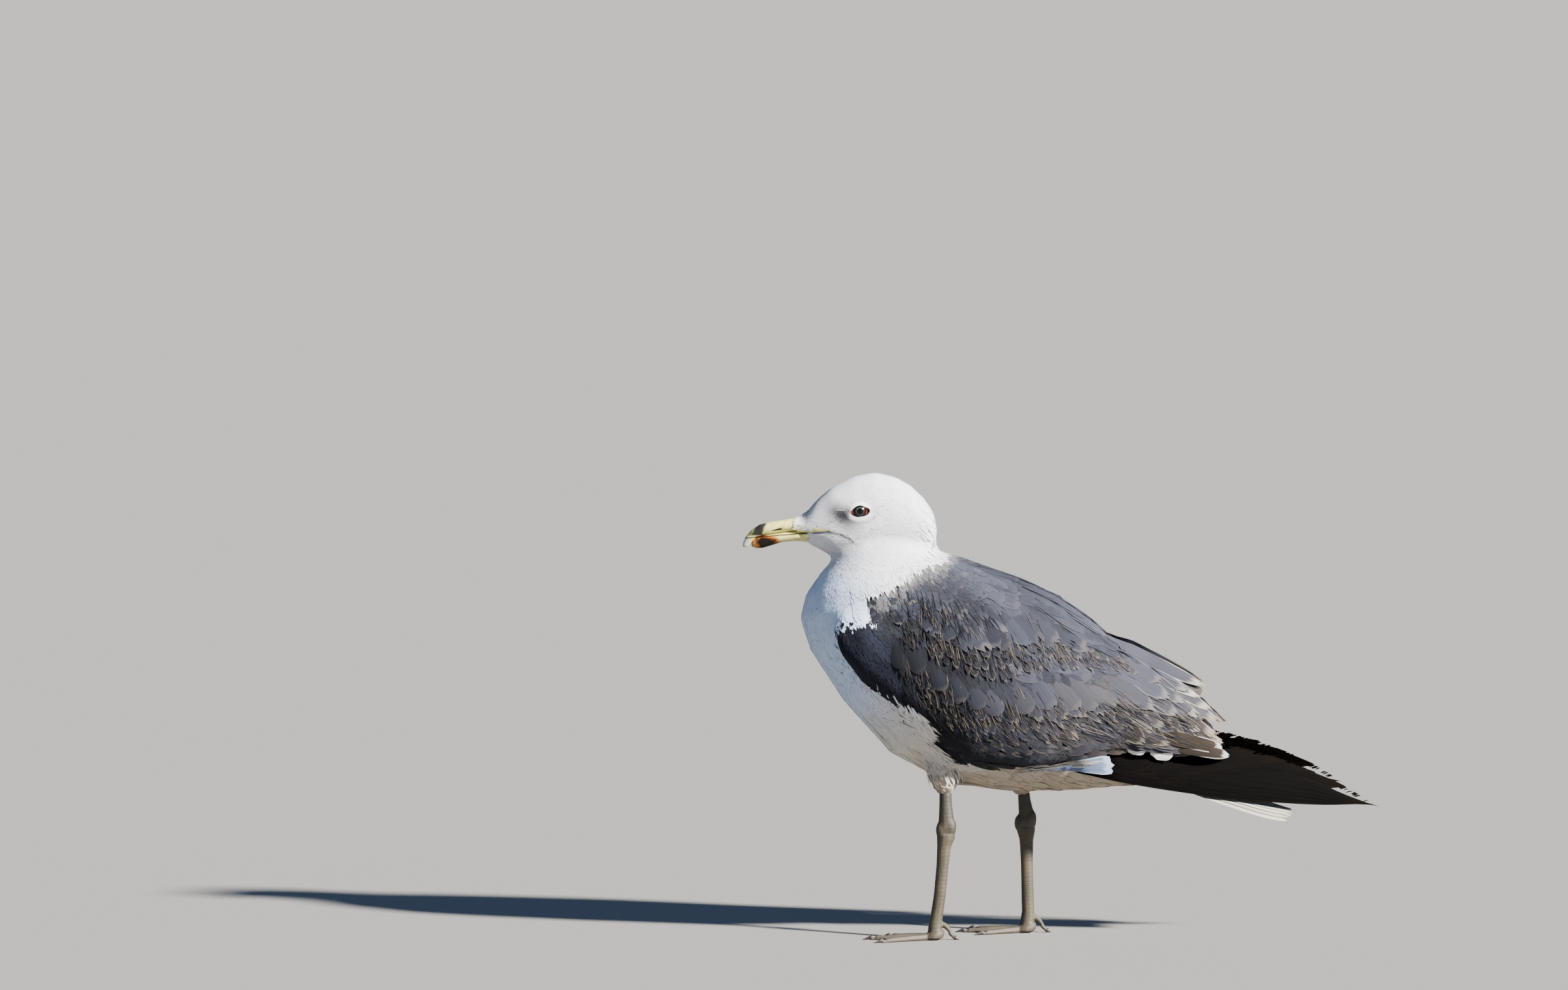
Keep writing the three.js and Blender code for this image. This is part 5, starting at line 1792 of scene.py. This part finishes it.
def makeLegs():
    for side in ("left", "right"):
        names = [part + "_" + side for part in ("shank", "tarsus", "foot", "hallux")]
        form = copyOfNodes(names, 0.25)
        legPoints = np.array([v.co for v in form.verts])
        for toe in legs["toes"]:
            claw = copyOfNodes(["claw_" + toe + "_" + side])
            addCuticle(form, legPoints, claw)
            claw.free()
        for x, z, radius in legs["knobs"][side]:
            addBall(form, Vector((x, 26 if side == "right" else -26, z)) * mm, radius, 1.5)
        form = remeshed(form, legs["voxel"], 2)
        for v in form.verts:
            v.co.z = max(0.0, v.co.z)
            if v.co.z < 0.0005:
                v.co.z = 0.0
        mesh = meshOf(form, "leg_" + side)
        form.free()
        finishPiece(newObject("legs_" + side, mesh, legSkin), names)
        for toe in legs["toes"]:
            name = "claw_" + toe + "_" + side
            form = copyOfNodes([name])
            bmesh.ops.subdivide_edges(form, edges=form.edges, cuts=1, use_grid_fill=True, smooth=0.6)
            for v in form.verts:
                v.co.z = max(0.0, v.co.z)
            mesh = meshOf(form, name)
            form.free()
            finishPiece(newObject(name + "_horn", mesh, clawHorn), [name])


makeLegs()
print("legs made")

# Floor, light and camera
stage = {
    "floorSize": 120.0, "floor": (0.185, 0.177, 0.165), "sky": (0.36, 0.56, 1.0), "skyStrength": 0.38,
    "aim": (-0.2168, 0.0, 0.3474), "distance": 10.0, "elevation": 4.5, "width": 1.228,
}


def makeStage():
    form = bmesh.new()
    bmesh.ops.create_grid(form, x_segments=1, y_segments=1, size=stage["floorSize"] / 2)
    floor = newObject("floor", meshOf(form, "floor"), smoothShade=False)
    form.free()
    kit = Kit("floorPaper")
    soft = kit.noise(kit.place(), 1.5, 2)
    kit.surface(Base_Color=kit.blend(soft * 0.2, stage["floor"], (0.168, 0.161, 0.15)), Roughness=0.9)
    floor.data.materials.append(kit.material)
    world = bpy.data.worlds.new("soft")
    world.use_nodes = True
    world.node_tree.nodes["Background"].inputs["Color"].default_value = (*stage["sky"], 1)
    world.node_tree.nodes["Background"].inputs["Strength"].default_value = stage["skyStrength"]
    bpy.context.scene.world = world
    for name, place, kind, size, power, colour in (
        ("key", (7.2, -4.6, 5.2), "SUN", math.radians(4), 26.0, (1.0, 0.965, 0.91)),
        ("fill", (-2.4, -3.2, 1.6), "AREA", 2.4, 4, (0.5, 0.7, 1.0)),
    ):
        data = bpy.data.lights.new(name, kind)
        data.energy, data.color = power, colour
        if kind == "SUN":
            data.angle = size
        else:
            data.size = size
        lamp = bpy.data.objects.new(name, data)
        lamp.location = place
        lamp.rotation_euler = (Vector((-0.02, 0, 0.2)) - Vector(place)).to_track_quat("-Z", "Y").to_euler()
        bpy.context.scene.collection.objects.link(lamp)
    data = bpy.data.cameras.new("camera")
    data.sensor_width = 36
    data.lens = 36 * stage["distance"] / stage["width"]
    data.clip_start, data.clip_end = 0.1, 200
    camera = bpy.data.objects.new("camera", data)
    tilt = math.radians(stage["elevation"])
    back = Vector((0, -math.cos(tilt), math.sin(tilt)))
    camera.location = Vector(stage["aim"]) + back * stage["distance"]
    camera.rotation_euler = (-back).to_track_quat("-Z", "Y").to_euler()
    bpy.context.scene.collection.objects.link(camera)
    bpy.context.scene.camera = camera


makeStage()
envelopeForm.free()
print("scene ready")
